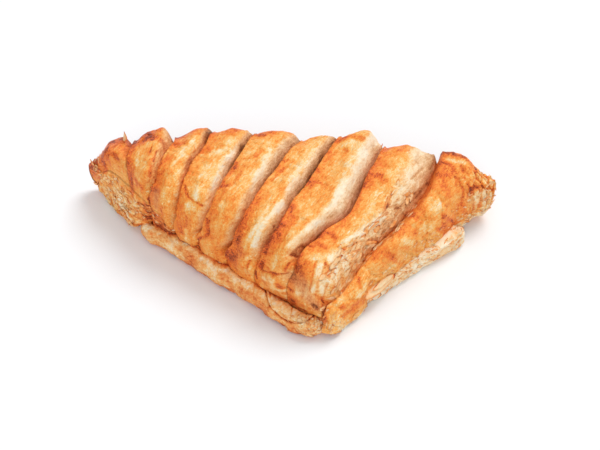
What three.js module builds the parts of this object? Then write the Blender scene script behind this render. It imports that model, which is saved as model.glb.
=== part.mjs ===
// A baked puff-pastry turnover: a square of dough folded corner to corner over its
// filling. The top sheet is slashed from the fold to the front edge, and the slats
// between the cuts have risen. The bottom sheet shows as a lip under the two legs.
//
// The whole pastry is one closed skin: a grid of columns that run from the front edge
// to the fold, one family per slat, then a stack of rings that goes down the cut edge,
// in under the top sheet, out round the lip and flat under the base.
//
// Millimetres, +Z up, +X along the fold, the point of the triangle towards -Y.

import * as THREE from 'three';

// ---------------------------------------------------------------- driving dimensions

// Corners of the top sheet. Its left side is a short end, then the long leg.
const LEFT_TIP = new THREE.Vector2(-86, 38);
const SHOULDER = new THREE.Vector2(-58.5, 6);
const NOSE = new THREE.Vector2(17, -42);
const RIGHT_TIP = new THREE.Vector2(89, 36);
const SHOULDER_SOFTNESS = 8;
const NOSE_RADIUS = 3;
const RIGHT_TIP_RADIUS = 9;

// How far the sides swell beyond the straight lines between those corners.
const FOLD_BOW = 5;
const LEG_BOW = 0.8;
const RIGHT_BOW = 0.5;
const NOSE_FLARE = 3;
const NOSE_FLARE_REACH = 0.3;

// Heights. The crest is the top of the filled middle, without the slats' own crowns.
const CREST = 34;
const RIM_END = 17;
const RIM_LEG = 11;
const RIM_NOSE = 8;
const RIM_RIGHT = 7.5;
const RIM_FOLD = 14;
const LEFT_TIP_DROOP = 3.5;
const RIGHT_TIP_LIFT = 4;
const UNDERSIDE = 6;
const LEFT_UNDERSIDE_LIFT = 2;
const RIGHT_UNDERSIDE_LIFT = 3;

// Width over which the crust climbs from each side to the crest, and how square it is.
const CLIMB_END = { width: 9, squareness: 2.2 };
const CLIMB_LEG = { width: 14, squareness: 2.2 };
const CLIMB_RIGHT = { width: 42, squareness: 2.4 };
const CLIMB_FOLD = { width: 11, squareness: 2.6 };
const CLIMB_LEFT_TIP = { width: 40, start: 1, squareness: 1.4 };
const CLIMB_RIGHT_TIP = { width: 48, start: 2, squareness: 1.45 };

const FRONT_END_LENGTH = SHOULDER.distanceTo(LEFT_TIP);
const LEG_LENGTH = NOSE.distanceTo(SHOULDER);
const FRONT_LENGTH = FRONT_END_LENGTH + LEG_LENGTH;
const FOLD_LENGTH = RIGHT_TIP.distanceTo(LEFT_TIP);
const RIGHT_LENGTH = RIGHT_TIP.distanceTo(NOSE);

// The cuts, from the left tip to the right leg. foot and head are where a cut's line
// meets the front edge and the fold, both measured from the left tip. sway bends the
// line to the right. start is how far in from the front edge the cut begins, and is
// negative where it runs out through the edge. depth is at the foot and at the head.
const CUTS = [
  { foot: 0, head: 0, sway: 0, start: 0, depth: [0, 0] },
  { foot: 33, head: 20.5, sway: 0, start: 1, depth: [2, 3] },
  { foot: 44.5, head: 37, sway: 1.5, start: 2, depth: [4, 4] },
  { foot: 58.5, head: 54.5, sway: 0, start: -6, depth: [6, 4.5] },
  { foot: 72.5, head: 71.5, sway: 0, start: -4, depth: [5, 4.5] },
  { foot: 87.5, head: 90, sway: 0, start: -4, depth: [5.5, 5] },
  { foot: 103, head: 106, sway: 1, start: 0, depth: [6, 5] },
  { foot: 119, head: 124, sway: 3.5, start: 5, depth: [7.5, 6] },
  { foot: 126.5, head: 147, sway: 12, start: 11, depth: [3, 6.5] },
  { foot: FRONT_LENGTH, head: FOLD_LENGTH, sway: 0, start: 0, depth: [0, 0] },
];

// The slats between the cuts. wall is the share of a slat's width that slopes down to
// the next cut, crown is the height of its own hump and peak is where that hump is
// highest across the slat.
const SLATS = [
  { crown: 1.0, peak: 0.6, wall: 0.2, columns: 5 },
  { crown: 1.6, peak: 0.72, wall: 0.3, columns: 6 },
  { crown: 1.6, peak: 0.6, wall: 0.28, columns: 6 },
  { crown: 1.5, peak: 0.5, wall: 0.32, columns: 7 },
  { crown: 1.6, peak: 0.45, wall: 0.37, columns: 7 },
  { crown: 1.0, peak: 0.58, wall: 0.42, columns: 7 },
  { crown: 3.4, peak: 0.7, wall: 0.46, columns: 8 },
  { crown: 1.8, peak: 0.55, wall: 0.62, columns: 8 },
  { crown: 3.0, peak: 0.35, wall: 0, columns: 9 },
];
const CUT_EDGE_SHARE = 0.07;
const CUT_FADE = 6;
const FOLD_FADE = 5;
const ROWS = 38;

// The bottom sheet, a layered slab that the top sheet overhangs at both tips.
const SHEET_LEFT_TIP = new THREE.Vector2(-79, 35);
const SHEET_SHOULDER = new THREE.Vector2(-60, 2.5);
const SHEET_NOSE_LEFT = new THREE.Vector2(7.5, -45.5);
const SHEET_NOSE = new THREE.Vector2(15.5, -47.2);
const SHEET_NOSE_RIGHT = new THREE.Vector2(23.5, -44);
const SHEET_RIGHT = new THREE.Vector2(73, 10.3);
const SHEET_RIGHT_TIP = new THREE.Vector2(82, 34);
const SHEET_CORNER_LENGTH = 5;
const SHEET_TOP = 6;
const CREVICE_DEPTH = 2.5;
const SHEET_INSET = 3.5;
const PLEAT_PITCH = 7;
const PLEAT_HEIGHT = 0.9;

// Crumpling of the baked crust, and the torn flakes beside the last cut.
const WRINKLE_SIZE = 7;
const WRINKLE_HEIGHT = 0.4;
const FLAKE_WIDTH = 3.6;
const FLAKE_LENGTH = 16;
const FLAKE_HEIGHT = 0.8;

// ---------------------------------------------------------------- small helpers

const clamp01 = (t) => Math.min(Math.max(t, 0), 1);
const lerp = (a, b, t) => a + (b - a) * t;
const smooth = (t) => clamp01(t) ** 2 * (3 - 2 * clamp01(t));
const hump = (t) => 4 * t * (1 - t);
const softPositive = (x, softness) => 0.5 * (x + Math.hypot(x, softness));
const cross = (a, b) => a.x * b.y - a.y * b.x;
const outward = (direction) => new THREE.Vector2(direction.y, -direction.x);

/** Superellipse quarter: 0 at 0 with a steep start, flat and 1 from t = 1. */
function climb(distance, { width, start = 0, squareness }) {
  const t = clamp01((distance + start) / width);
  return (1 - (1 - t) ** squareness) ** (1 / squareness);
}

/** The smallest of several shares, with a soft changeover where two are alike. */
function softLeast(...shares) {
  const sharpness = 4;
  const sum = shares.reduce((total, share) => total + Math.max(share, 1e-6) ** -sharpness - 1, 1);
  return sum ** (-1 / sharpness);
}

/** How much a corner of the given radius takes off a line at a distance from the side. */
function cornerTrim(distance, radius) {
  const d = Math.min(Math.max(distance, 0), radius);
  return radius - Math.sqrt(radius ** 2 - (radius - d) ** 2);
}

function latticeValue(i, j) {
  const s = Math.sin(i * 127.1 + j * 311.7) * 43758.5453;
  return s - Math.floor(s);
}

/** Smooth bumps from -1 to 1 with one lattice step per unit. */
function bumps(x, y) {
  const i = Math.floor(x);
  const j = Math.floor(y);
  const u = smooth(x - i);
  const v = smooth(y - j);
  const near = lerp(latticeValue(i, j), latticeValue(i + 1, j), u);
  const far = lerp(latticeValue(i, j + 1), latticeValue(i + 1, j + 1), u);
  return 2 * lerp(near, far, v) - 1;
}

// ---------------------------------------------------------------- plan of the top sheet

const END_DIRECTION = SHOULDER.clone().sub(LEFT_TIP).normalize();
const LEG_DIRECTION = NOSE.clone().sub(SHOULDER).normalize();
const RIGHT_DIRECTION = RIGHT_TIP.clone().sub(NOSE).normalize();
const FOLD_DIRECTION = RIGHT_TIP.clone().sub(LEFT_TIP).normalize();
const LEG_OUT = outward(LEG_DIRECTION);
const RIGHT_OUT = outward(RIGHT_DIRECTION);

/** Front edge at a length from the left tip: the blunt end, a soft shoulder, the leg. */
function frontEdge(length) {
  const past = length - FRONT_END_LENGTH;
  const alongLeg = softPositive(past, SHOULDER_SOFTNESS);
  const bow = LEG_BOW * hump(clamp01(past / LEG_LENGTH));
  return SHOULDER.clone()
    .addScaledVector(END_DIRECTION, past - alongLeg)
    .addScaledVector(LEG_DIRECTION, alongLeg)
    .addScaledVector(LEG_OUT, bow);
}

function foldEdge(length) {
  const point = LEFT_TIP.clone().addScaledVector(FOLD_DIRECTION, length);
  point.y += FOLD_BOW * hump(length / FOLD_LENGTH);
  return point;
}

const rightSwell = (u) => RIGHT_BOW * hump(u) + NOSE_FLARE * (1 - smooth(u / NOSE_FLARE_REACH));

/** A cut's value at column q, where column 0 is the left tip and 9 the right leg. */
function acrossCuts(key, q) {
  const k = Math.min(Math.floor(q), CUTS.length - 2);
  return lerp(CUTS[k][key], CUTS[k + 1][key], q - k);
}

/** Point of the plan at column q and share t of the way from the front to the fold. */
function planPoint(q, t) {
  const foot = frontEdge(acrossCuts('foot', q));
  const head = foldEdge(acrossCuts('head', q));
  const span = head.clone().sub(foot);
  const full = span.length();
  const direction = span.clone().divideScalar(full);
  const footIn = NOSE.clone().sub(foot).dot(RIGHT_OUT);
  const headIn = RIGHT_TIP.clone().sub(head).dot(RIGHT_OUT);
  const first = cornerTrim(footIn, NOSE_RADIUS) / full;
  const last = 1 - cornerTrim(headIn, RIGHT_TIP_RADIUS) / full;
  const share = lerp(first, last, t);
  const point = foot.addScaledVector(span, share)
    .addScaledVector(outward(direction), acrossCuts('sway', q) * hump(share))
    .addScaledVector(RIGHT_OUT, rightSwell(share) * smooth(q - 8));
  return { point, direction, length: full * (last - first) };
}

// ---------------------------------------------------------------- height of the top sheet

/** Height of the top sheet's cut edge beside the front, the right leg and the fold. */
function rimHeights(q, point) {
  const foot = acrossCuts('foot', q);
  const leg = lerp(RIM_LEG, RIM_NOSE, smooth((foot - 60) / 60));
  const nearLeft = smooth(1 - point.distanceTo(LEFT_TIP) / 28);
  const nearRight = smooth(1 - point.distanceTo(RIGHT_TIP) / 30);
  return {
    front: lerp(RIM_END, leg, smooth((foot - 50) / 10)) - LEFT_TIP_DROOP * nearLeft,
    right: RIM_RIGHT + RIGHT_TIP_LIFT * nearRight,
    fold: RIM_FOLD,
  };
}

/** The risen sheet before it was slashed. */
function risenSheet(q, t) {
  const { point, direction, length } = planPoint(q, t);
  const foot = acrossCuts('foot', q);
  const edgeDirection = frontEdge(foot + 0.1).sub(frontEdge(foot - 0.1)).normalize();
  const fromFront = length * t * Math.abs(cross(edgeDirection, direction));
  const fromFold = length * (1 - t) * Math.abs(cross(FOLD_DIRECTION, direction));
  const fromNose = point.clone().sub(NOSE);
  const swell = rightSwell(clamp01(fromNose.dot(RIGHT_DIRECTION) / RIGHT_LENGTH));
  const fromRight = q >= 9 ? 0 : Math.max(swell * smooth(q - 8) - fromNose.dot(RIGHT_OUT), 0);

  const rim = rimHeights(q, point);
  const weights = [fromFront, fromRight, fromFold].map((d) => 1 / (d + 0.6) ** 2);
  const total = weights[0] + weights[1] + weights[2];
  const rimHeight = (weights[0] * rim.front + weights[1] * rim.right + weights[2] * rim.fold) / total;

  const frontClimb = {
    width: lerp(CLIMB_END.width, CLIMB_LEG.width, smooth((foot - 30) / 20)),
    squareness: CLIMB_LEG.squareness,
  };
  const risen = softLeast(
    climb(fromFront, frontClimb),
    climb(fromFold, CLIMB_FOLD),
    climb(fromRight, CLIMB_RIGHT),
    climb(point.distanceTo(LEFT_TIP), CLIMB_LEFT_TIP),
    climb(point.distanceTo(RIGHT_TIP), CLIMB_RIGHT_TIP),
  );
  return { point: new THREE.Vector3(point.x, point.y, lerp(rimHeight, CREST, risen)), length };
}

// ---------------------------------------------------------------- cuts, crowns and flakes

function cutDepth(cut, along, length) {
  const [footDepth, headDepth] = cut.depth;
  const depth = lerp(footDepth, headDepth, smooth(along / length));
  return depth * smooth((along - cut.start) / CUT_FADE) * smooth((length - along - 1) / FOLD_FADE);
}

/** Height that the slats, the cuts and the crumpling add to the risen sheet. */
function relief(q, t, point, length) {
  const k = Math.min(Math.floor(q), SLATS.length - 1);
  const across = q - k;
  const along = t * length;
  const slat = SLATS[k];
  const inside = smooth(along / 6) * smooth((length - along) / 4);
  const crown = slat.crown * Math.sin(Math.PI * across ** (Math.log(0.5) / Math.log(slat.peak))) * inside;
  const sharpSide = 1 - smooth(across / CUT_EDGE_SHARE);
  const wallSide = slat.wall > 0 ? clamp01((across - 1 + slat.wall) / slat.wall) ** 1.15 : 0;
  const cuts = sharpSide * cutDepth(CUTS[k], along, length) + wallSide * cutDepth(CUTS[k + 1], along, length);
  const wrinkles = WRINKLE_HEIGHT * bumps(point.x / WRINKLE_SIZE, point.y / WRINKLE_SIZE) * inside;
  const torn = smooth(1 - Math.abs(q - 7.7) / 0.55) * smooth(1 - Math.abs(t - 0.42) / 0.34);
  const flakes = FLAKE_HEIGHT * bumps(q * 12 / FLAKE_WIDTH, along / FLAKE_LENGTH + 7) * torn;
  return crown - cuts + wrinkles + flakes;
}

/** Point of the finished crust. */
function crustPoint(q, t) {
  const step = 1e-3;
  const { point, length } = risenSheet(q, t);
  const alongT = risenSheet(q, Math.min(t + step, 1)).point.sub(risenSheet(q, Math.max(t - step, 0)).point);
  const alongQ = risenSheet(Math.min(q + step, 9), t).point.sub(risenSheet(Math.max(q - step, 0), t).point);
  const normal = alongQ.cross(alongT).normalize();
  return point.addScaledVector(normal, relief(q, t, point, length));
}

/** Columns across all slats: one on each side of a cut's edge, the rest spread evenly. */
function columnPositions() {
  const positions = [];
  SLATS.forEach(({ columns, wall }, k) => {
    positions.push(k);
    if (k > 0) positions.push(k + CUT_EDGE_SHARE);
    const onWall = Math.round((columns - 2) * wall);
    const onTop = columns - 2 - onWall;
    const wallStart = 1 - wall;
    for (let i = 1; i <= onTop; i += 1) {
      positions.push(k + lerp(CUT_EDGE_SHARE, wallStart, i / (wall > 0 ? onTop : onTop + 1)));
    }
    for (let i = 1; i <= onWall; i += 1) positions.push(k + lerp(wallStart, 1, i / (onWall + 1)));
  });
  positions.push(SLATS.length);
  return positions;
}

/** Rows from the front to the fold, closer together where the crust is steep. */
function rowPositions() {
  return Array.from({ length: ROWS + 1 }, (_, i) => {
    const t = i / ROWS;
    return t < 0.5 ? 0.5 * (2 * t) ** 1.35 : 1 - 0.5 * (2 - 2 * t) ** 1.35;
  });
}

// ---------------------------------------------------------------- edge and bottom sheet

/** A path through corners, each one eased by a short curve. */
function easedPath(corners) {
  const path = new THREE.Path();
  path.moveTo(corners[0].x, corners[0].y);
  corners.slice(1, -1).forEach((corner, i) => {
    const before = corner.clone().add(corners[i].clone().sub(corner).setLength(SHEET_CORNER_LENGTH));
    const after = corner.clone().add(corners[i + 2].clone().sub(corner).setLength(SHEET_CORNER_LENGTH));
    path.lineTo(before.x, before.y);
    path.quadraticCurveTo(corner.x, corner.y, after.x, after.y);
  });
  const end = corners[corners.length - 1];
  path.lineTo(end.x, end.y);
  return path;
}

const SHEET_END_PATH = easedPath([SHEET_LEFT_TIP, SHEET_SHOULDER]);
const SHEET_LEG_PATH = easedPath([SHEET_SHOULDER, SHEET_NOSE_LEFT, SHEET_NOSE]);
const SHEET_RIGHT_PATH = easedPath([SHEET_NOSE, SHEET_NOSE_RIGHT, SHEET_RIGHT, SHEET_RIGHT_TIP]);

/** Edge of the bottom sheet below a place on the top sheet's edge. */
const sheetBelow = {
  front(length) {
    const past = length - FRONT_END_LENGTH;
    return past < 0
      ? SHEET_END_PATH.getPointAt(length / FRONT_END_LENGTH)
      : SHEET_LEG_PATH.getPointAt(past / LEG_LENGTH);
  },
  right: (t) => SHEET_RIGHT_PATH.getPointAt(t),
  fold(length) {
    const share = length / FOLD_LENGTH;
    const point = SHEET_LEFT_TIP.clone().lerp(SHEET_RIGHT_TIP, share);
    point.y += FOLD_BOW * hump(share);
    return point;
  },
};

// The middle line of the base, which the rings shrink towards.
const SPINE = [new THREE.Vector2(-52, 26), new THREE.Vector2(52, 20)];

/** Unit direction and distance from a point to the spine. */
function toSpine(point) {
  const line = SPINE[1].clone().sub(SPINE[0]);
  const share = clamp01(point.clone().sub(SPINE[0]).dot(line) / line.lengthSq());
  const way = SPINE[0].clone().addScaledVector(line, share).sub(point);
  return { direction: way.clone().normalize(), distance: way.length() };
}

/** Points down one place of the edge, from under the top sheet's rim to the floor. */
function edgeProfile(rim, sheetEdge, foldShare, lengthRound) {
  const edge = new THREE.Vector2(rim.x, rim.y);
  const lidWay = toSpine(edge);
  const sheetWay = toSpine(sheetEdge);
  const nearLeft = smooth(1 - edge.distanceTo(LEFT_TIP) / 40);
  const nearRight = smooth(1 - edge.distanceTo(RIGHT_TIP) / 35);
  const under = UNDERSIDE + LEFT_UNDERSIDE_LIFT * nearLeft + RIGHT_UNDERSIDE_LIFT * nearRight;
  const lidIn = Math.max(CREVICE_DEPTH, lidWay.distance - sheetWay.distance + SHEET_INSET);
  const pleat = PLEAT_HEIGHT * bumps(lengthRound / PLEAT_PITCH, 3.5) * (1 - foldShare);

  const fromLid = (inset, height) => ({ place: edge.clone().addScaledVector(lidWay.direction, inset), height });
  const fromSheet = (inset, height) => ({
    place: sheetEdge.clone().addScaledVector(sheetWay.direction, inset - pleat),
    height,
  });
  const layered = [
    fromLid(0.3, under),
    fromLid(lidIn, under - 0.5),
    fromLid(lidIn, SHEET_TOP - 1.5),
    fromSheet(2.8, SHEET_TOP - 0.5),
    fromSheet(1.1, SHEET_TOP - 0.4 + pleat * 0.5),
    fromSheet(0, 3.2),
    fromSheet(0.6, 0.9),
    fromSheet(2.2, 0),
  ];
  const folded = [
    [0, 11.5], [0.3, 9.5], [0.7, 7.7], [1.3, 6], [2.1, 4.3], [3.2, 2.6], [4.7, 1], [6.8, 0],
  ].map(([inset, height]) => fromLid(inset, height));
  return layered.map((point, i) => {
    const place = point.place.lerp(folded[i].place, foldShare);
    return new THREE.Vector3(place.x, place.y, lerp(point.height, folded[i].height, foldShare));
  });
}

// ---------------------------------------------------------------- the closed skin

function turnoverGeometry() {
  const columns = columnPositions();
  const rows = rowPositions();
  const vertices = [];
  const triangles = [];
  const addVertex = (point) => vertices.push(point) - 1;
  const addQuad = (a, b, c, d) => triangles.push([a, b, c], [a, c, d]);

  // All the rows of column 0 meet in the left tip.
  const tip = addVertex(crustPoint(0, 0));
  const grid = columns.map((q) => rows.map((t) => (q === 0 ? tip : addVertex(crustPoint(q, t)))));
  const lastColumn = columns.length - 1;
  const lastRow = rows.length - 1;
  for (let j = 0; j < lastRow; j += 1) triangles.push([tip, grid[1][j], grid[1][j + 1]]);
  for (let i = 1; i < lastColumn; i += 1) {
    for (let j = 0; j < lastRow; j += 1) {
      addQuad(grid[i][j], grid[i + 1][j], grid[i + 1][j + 1], grid[i][j + 1]);
    }
  }

  const rim = [
    ...columns.map((q, i) => ({
      vertex: grid[i][0], sheet: sheetBelow.front(acrossCuts('foot', q)), fold: 0,
    })),
    ...rows.slice(1).map((t, j) => ({
      vertex: grid[lastColumn][j + 1], sheet: sheetBelow.right(t), fold: 0,
    })),
    ...columns.slice(1, -1).map((q, i) => ({
      vertex: grid[i + 1][lastRow], sheet: sheetBelow.fold(acrossCuts('head', q)), fold: 1,
    })).reverse(),
  ];
  const around = rim.length;
  const foldShareAt = (i) => {
    const reach = 4;
    let sum = 0;
    for (let k = -reach; k <= reach; k += 1) sum += rim[(i + k + around) % around].fold;
    return smooth(sum / (2 * reach + 1));
  };

  let lengthRound = 0;
  let ring = rim.map(({ vertex }) => vertex);
  const profiles = rim.map(({ vertex, sheet }, i) => {
    lengthRound += vertices[vertex].distanceTo(vertices[rim[(i + around - 1) % around].vertex]);
    return edgeProfile(vertices[vertex], sheet, foldShareAt(i), lengthRound);
  });
  for (let level = 0; level < profiles[0].length; level += 1) {
    const next = profiles.map((profile) => addVertex(profile[level]));
    for (let i = 0; i < around; i += 1) {
      const after = (i + 1) % around;
      addQuad(ring[i], next[i], next[after], ring[after]);
    }
    ring = next;
  }

  const baseMiddle = addVertex(new THREE.Vector3(0, 12, 0));
  for (let i = 0; i < around; i += 1) triangles.push([ring[i], baseMiddle, ring[(i + 1) % around]]);

  const geometry = new THREE.BufferGeometry().setFromPoints(vertices);
  geometry.setIndex(triangles.flat());
  const middle = new THREE.Box3().setFromPoints(vertices).getCenter(new THREE.Vector3());
  geometry.translate(-middle.x, -middle.y, 0);
  geometry.computeVertexNormals();
  return geometry;
}

const crust = new THREE.MeshStandardMaterial({ color: 0xe39a54, roughness: 0.5, metalness: 0 });

const turnover = new THREE.Mesh(turnoverGeometry(), crust);
turnover.name = 'turnover';

const pastry = new THREE.Group();
pastry.add(turnover);

export default pastry;
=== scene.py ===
# %% [markdown]
# # A slashed turnover in puff pastry
# This lesson dresses a packed model of a baked turnover. The model is one closed solid
# with the right size. Here the same form is drawn again with far more points, so that
# its cut edges, blisters and torn layers are real shapes, and it gets a baked finish.

# %% Load the packed part
import math

import bpy
import numpy as np
from mathutils import Euler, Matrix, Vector


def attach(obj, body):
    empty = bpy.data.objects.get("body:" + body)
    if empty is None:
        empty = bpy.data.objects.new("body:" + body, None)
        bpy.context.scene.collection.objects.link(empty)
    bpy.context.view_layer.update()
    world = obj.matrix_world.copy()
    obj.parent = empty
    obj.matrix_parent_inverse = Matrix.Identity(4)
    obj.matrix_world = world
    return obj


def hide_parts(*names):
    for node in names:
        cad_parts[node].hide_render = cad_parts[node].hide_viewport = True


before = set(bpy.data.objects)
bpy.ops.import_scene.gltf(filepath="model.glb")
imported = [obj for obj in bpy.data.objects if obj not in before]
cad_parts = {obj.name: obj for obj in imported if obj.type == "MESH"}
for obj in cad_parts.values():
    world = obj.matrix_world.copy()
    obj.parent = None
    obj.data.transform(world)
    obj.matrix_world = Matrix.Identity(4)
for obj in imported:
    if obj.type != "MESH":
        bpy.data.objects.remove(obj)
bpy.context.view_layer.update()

# %% [markdown]
# ## Camera
# The pastry lies on a white sweep and is seen from half-way up, nearly square to its
# fold. A long lens from three quarters of a metre keeps the two tips the same size.

# %% Camera
VIEW_AZIMUTH = math.radians(4)
VIEW_ELEVATION = math.radians(45)
VIEW_DISTANCE = 0.7336
VIEW_TARGET = Vector((0.0014, -0.0044, 0.0183))
LENS_MM = 110.04
SHIFT_RIGHT = 0.025
SHIFT_UP = 0.0167

towards_camera = Vector((
    math.sin(VIEW_AZIMUTH) * math.cos(VIEW_ELEVATION),
    -math.cos(VIEW_AZIMUTH) * math.cos(VIEW_ELEVATION),
    math.sin(VIEW_ELEVATION),
))
camera_data = bpy.data.cameras.new("camera")
camera_data.lens = LENS_MM
camera_data.shift_x = SHIFT_RIGHT
camera_data.shift_y = SHIFT_UP
camera = bpy.data.objects.new("camera", camera_data)
camera.location = VIEW_TARGET + VIEW_DISTANCE * towards_camera
camera.rotation_euler = (-towards_camera).to_track_quat("-Z", "Y").to_euler()
bpy.context.collection.objects.link(camera)
bpy.context.scene.camera = camera
print("camera stands, mm:", [round(1000 * part) for part in camera.location])

# %% [markdown]
# ## Light
# The set is high key: a white floor that burns out to paper white and a tent of light all
# round. A broad key stands behind and to the right, high up, and throws a soft shadow to
# the front. A weak fill from the camera's side keeps the front open. Suns are used, not
# area lamps, because their strength and softness don't change with their distance.

# %% Light and floor
TENT_STRENGTH = 0.66
KEY_STRENGTH = 0.50
FILL_STRENGTH = 0.20
LIGHT_SOFTNESS = math.radians(32)
KEY_AZIMUTH, KEY_ELEVATION = math.radians(34), math.radians(54)
FILL_AZIMUTH, FILL_ELEVATION = math.radians(182), math.radians(32)
WARM_WHITE = (1.0, 0.985, 0.96)
TENT_WHITE = (0.975, 0.99, 1.0)
FLOOR_WIDTH = 6.0

scene = bpy.context.scene
scene.view_settings.view_transform = "Standard"
world = bpy.data.worlds.new("tent")
world.use_nodes = True
world.node_tree.nodes["Background"].inputs["Color"].default_value = (*TENT_WHITE, 1.0)
world.node_tree.nodes["Background"].inputs["Strength"].default_value = TENT_STRENGTH
scene.world = world


def soft_sun(name, strength, azimuth, elevation):
    """A broad far light. Azimuth 0 is behind the pastry and 90 degrees is to its right."""
    light = bpy.data.lights.new(name, "SUN")
    light.energy = strength * math.pi
    light.angle = LIGHT_SOFTNESS
    light.color = WARM_WHITE
    towards = Vector((
        math.sin(azimuth) * math.cos(elevation),
        math.cos(azimuth) * math.cos(elevation),
        math.sin(elevation),
    ))
    lamp = bpy.data.objects.new(name, light)
    lamp.rotation_euler = towards.to_track_quat("Z", "Y").to_euler()
    bpy.context.collection.objects.link(lamp)


soft_sun("key", KEY_STRENGTH, KEY_AZIMUTH, KEY_ELEVATION)
soft_sun("fill", FILL_STRENGTH, FILL_AZIMUTH, FILL_ELEVATION)

half = FLOOR_WIDTH / 2
floor_corners = [(-half, -half, 0), (half, -half, 0), (half, half, 0), (-half, half, 0)]
floor_mesh = bpy.data.meshes.new("floor")
floor_mesh.from_pydata(floor_corners, [], [(0, 1, 2, 3)])
floor = bpy.data.objects.new("floor", floor_mesh)
bpy.context.collection.objects.link(floor)
print("lights:", ", ".join(light.name for light in bpy.data.lights))

# %% [markdown]
# ## Driving dimensions
# The baker folds a square of dough corner to corner. That gives a triangle with the
# fold along its back. These are the sizes that the packed solid was drawn from, in
# millimetres, so the fine skin lands on it.

# %% Sizes of the top sheet
def point2(x, y):
    return np.array([x, y], dtype=float)


LEFT_TIP = point2(-86, 38)
SHOULDER = point2(-58.5, 6)
NOSE = point2(17, -42)
RIGHT_TIP = point2(89, 36)
SHOULDER_SOFTNESS = 8
NOSE_RADIUS = 3
RIGHT_TIP_RADIUS = 9
FOLD_BOW = 5
LEG_BOW = 0.8
END_SETBACK = 1.8

CREST = 34
RIM_END = 19
RIM_LEG = 11
RIM_NOSE = 8
RIM_FOLD = 14
LEFT_TIP_DROOP = 3.5
RIGHT_TIP_LIFT = 4

# Along the right leg from the nose: how far its edge stands out, and how high its rim is.
RIGHT_STATIONS = (0, 4, 10, 16, 22, 28, 36, 53, 80, 106)
RIGHT_SWELL = (4.2, 5.2, 4.9, 4.2, 2.4, 1.2, 1.0, 1.2, 1.2, 1.0)
RIM_RIGHT = (2.2, 2.0, 2.0, 2.4, 4.2, 6.6, 7.4, 7.4, 7.5, 7.5)

DRAWING_MIDDLE = np.array([-0.89, -2.58, 0.0])
print("fold length, mm:", round(float(np.linalg.norm(RIGHT_TIP - LEFT_TIP)), 1))

# %% [markdown]
# ## Helper maths
# Three curves do most of the shaping. `smooth` eases between 0 and 1, `climb` is a
# quarter of a squarish ellipse, which is how a filled sheet rises from its rim, and
# `soft_least` takes the lowest of several climbs with a soft changeover.

# %% Helper maths
def unit(vector):
    return vector / np.linalg.norm(vector)


def unit_rows(vectors):
    return vectors / np.maximum(np.linalg.norm(vectors, axis=-1, keepdims=True), 1e-9)


def outward(direction):
    return np.stack([direction[..., 1], -direction[..., 0]], axis=-1)


def walked_along(points):
    """Distance walked from the first point to each of the points."""
    steps = np.linalg.norm(np.diff(points, axis=0), axis=1)
    return np.concatenate([[0], np.cumsum(steps)])


def clamp01(t):
    return np.clip(t, 0, 1)


def lerp(a, b, t):
    return a + (b - a) * t


def smooth(t):
    t = clamp01(t)
    return t * t * (3 - 2 * t)


def hump(t):
    return 4 * t * (1 - t)


def distance(points, place):
    return np.linalg.norm(points - place, axis=-1)


def climb(span, width, squareness, start=0.0):
    t = clamp01((span + start) / width)
    return (1 - (1 - t) ** squareness) ** (1 / squareness)


def soft_least(*shares):
    sharpness = 4
    total = 1 + sum(np.maximum(share, 1e-6) ** -sharpness - 1 for share in shares)
    return total ** (-1 / sharpness)


def corner_trim(span, radius):
    inside = np.clip(span, 0, radius)
    return radius - np.sqrt(radius**2 - (radius - inside) ** 2)


print("smooth:", [round(float(smooth(t)), 2) for t in (0, 0.25, 0.5, 0.75, 1)])

# %% [markdown]
# ## The cuts and the slats
# The top sheet is slashed from the fold to the front edge. Steam lifts the strips
# between the cuts, here called slats: each has a sharp left edge, a hump, and a long
# slope down into the next cut. A column number says where a point is across them: 0 is
# the left tip, the whole numbers up to 8 are the cuts, and 9 is the right leg. So slat 3
# lies between columns 3 and 4.

# %% Cuts and slats
END_LENGTH = np.linalg.norm(SHOULDER - LEFT_TIP)
LEG_LENGTH = np.linalg.norm(NOSE - SHOULDER)
FRONT_LENGTH = END_LENGTH + LEG_LENGTH
FOLD_LENGTH = np.linalg.norm(RIGHT_TIP - LEFT_TIP)
RIGHT_LENGTH = np.linalg.norm(RIGHT_TIP - NOSE)

# foot and head: where the cut meets the front and the fold, from the left tip.
# sway: how far its line bends to the right. start: how far in from the front it begins.
CUT_FOOT = np.array([0, 33, 44.5, 58.5, 72.5, 87.5, 103, 119, 130, FRONT_LENGTH])
CUT_HEAD = np.array([0, 20.5, 37, 54.5, 71.5, 90, 106, 124, 147, FOLD_LENGTH])
CUT_SWAY = np.array([0, 0, 1.5, 0, 0, 0, 1, 3.5, 0, 0])
CUT_START = np.array([0, 8, 1, -2, 3, 2, 8, 17, 5, 0])
CUT_FOOT_DEPTH = np.array([0, 1.6, 4, 6, 5, 5.5, 5.5, 5.4, 1.2, 0])
CUT_HEAD_DEPTH = np.array([0, 3, 4, 4.5, 4.5, 5, 5, 4.8, 4.6, 0])
CUT_FADE = 6
FOLD_FADE = 6

SLAT_CROWN = np.array([1.0, 1.6, 1.6, 1.5, 1.6, 1.0, 2.4, 1.6, 2.4])
SLAT_PEAK = np.array([0.6, 0.72, 0.6, 0.5, 0.45, 0.58, 0.7, 0.55, 0.35])
SLAT_WALL = np.array([0.2, 0.3, 0.28, 0.32, 0.37, 0.42, 0.46, 0.62, 0])
CUT_EDGE_SHARE = 0.06
CUT_NUMBERS = np.arange(10)

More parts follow.
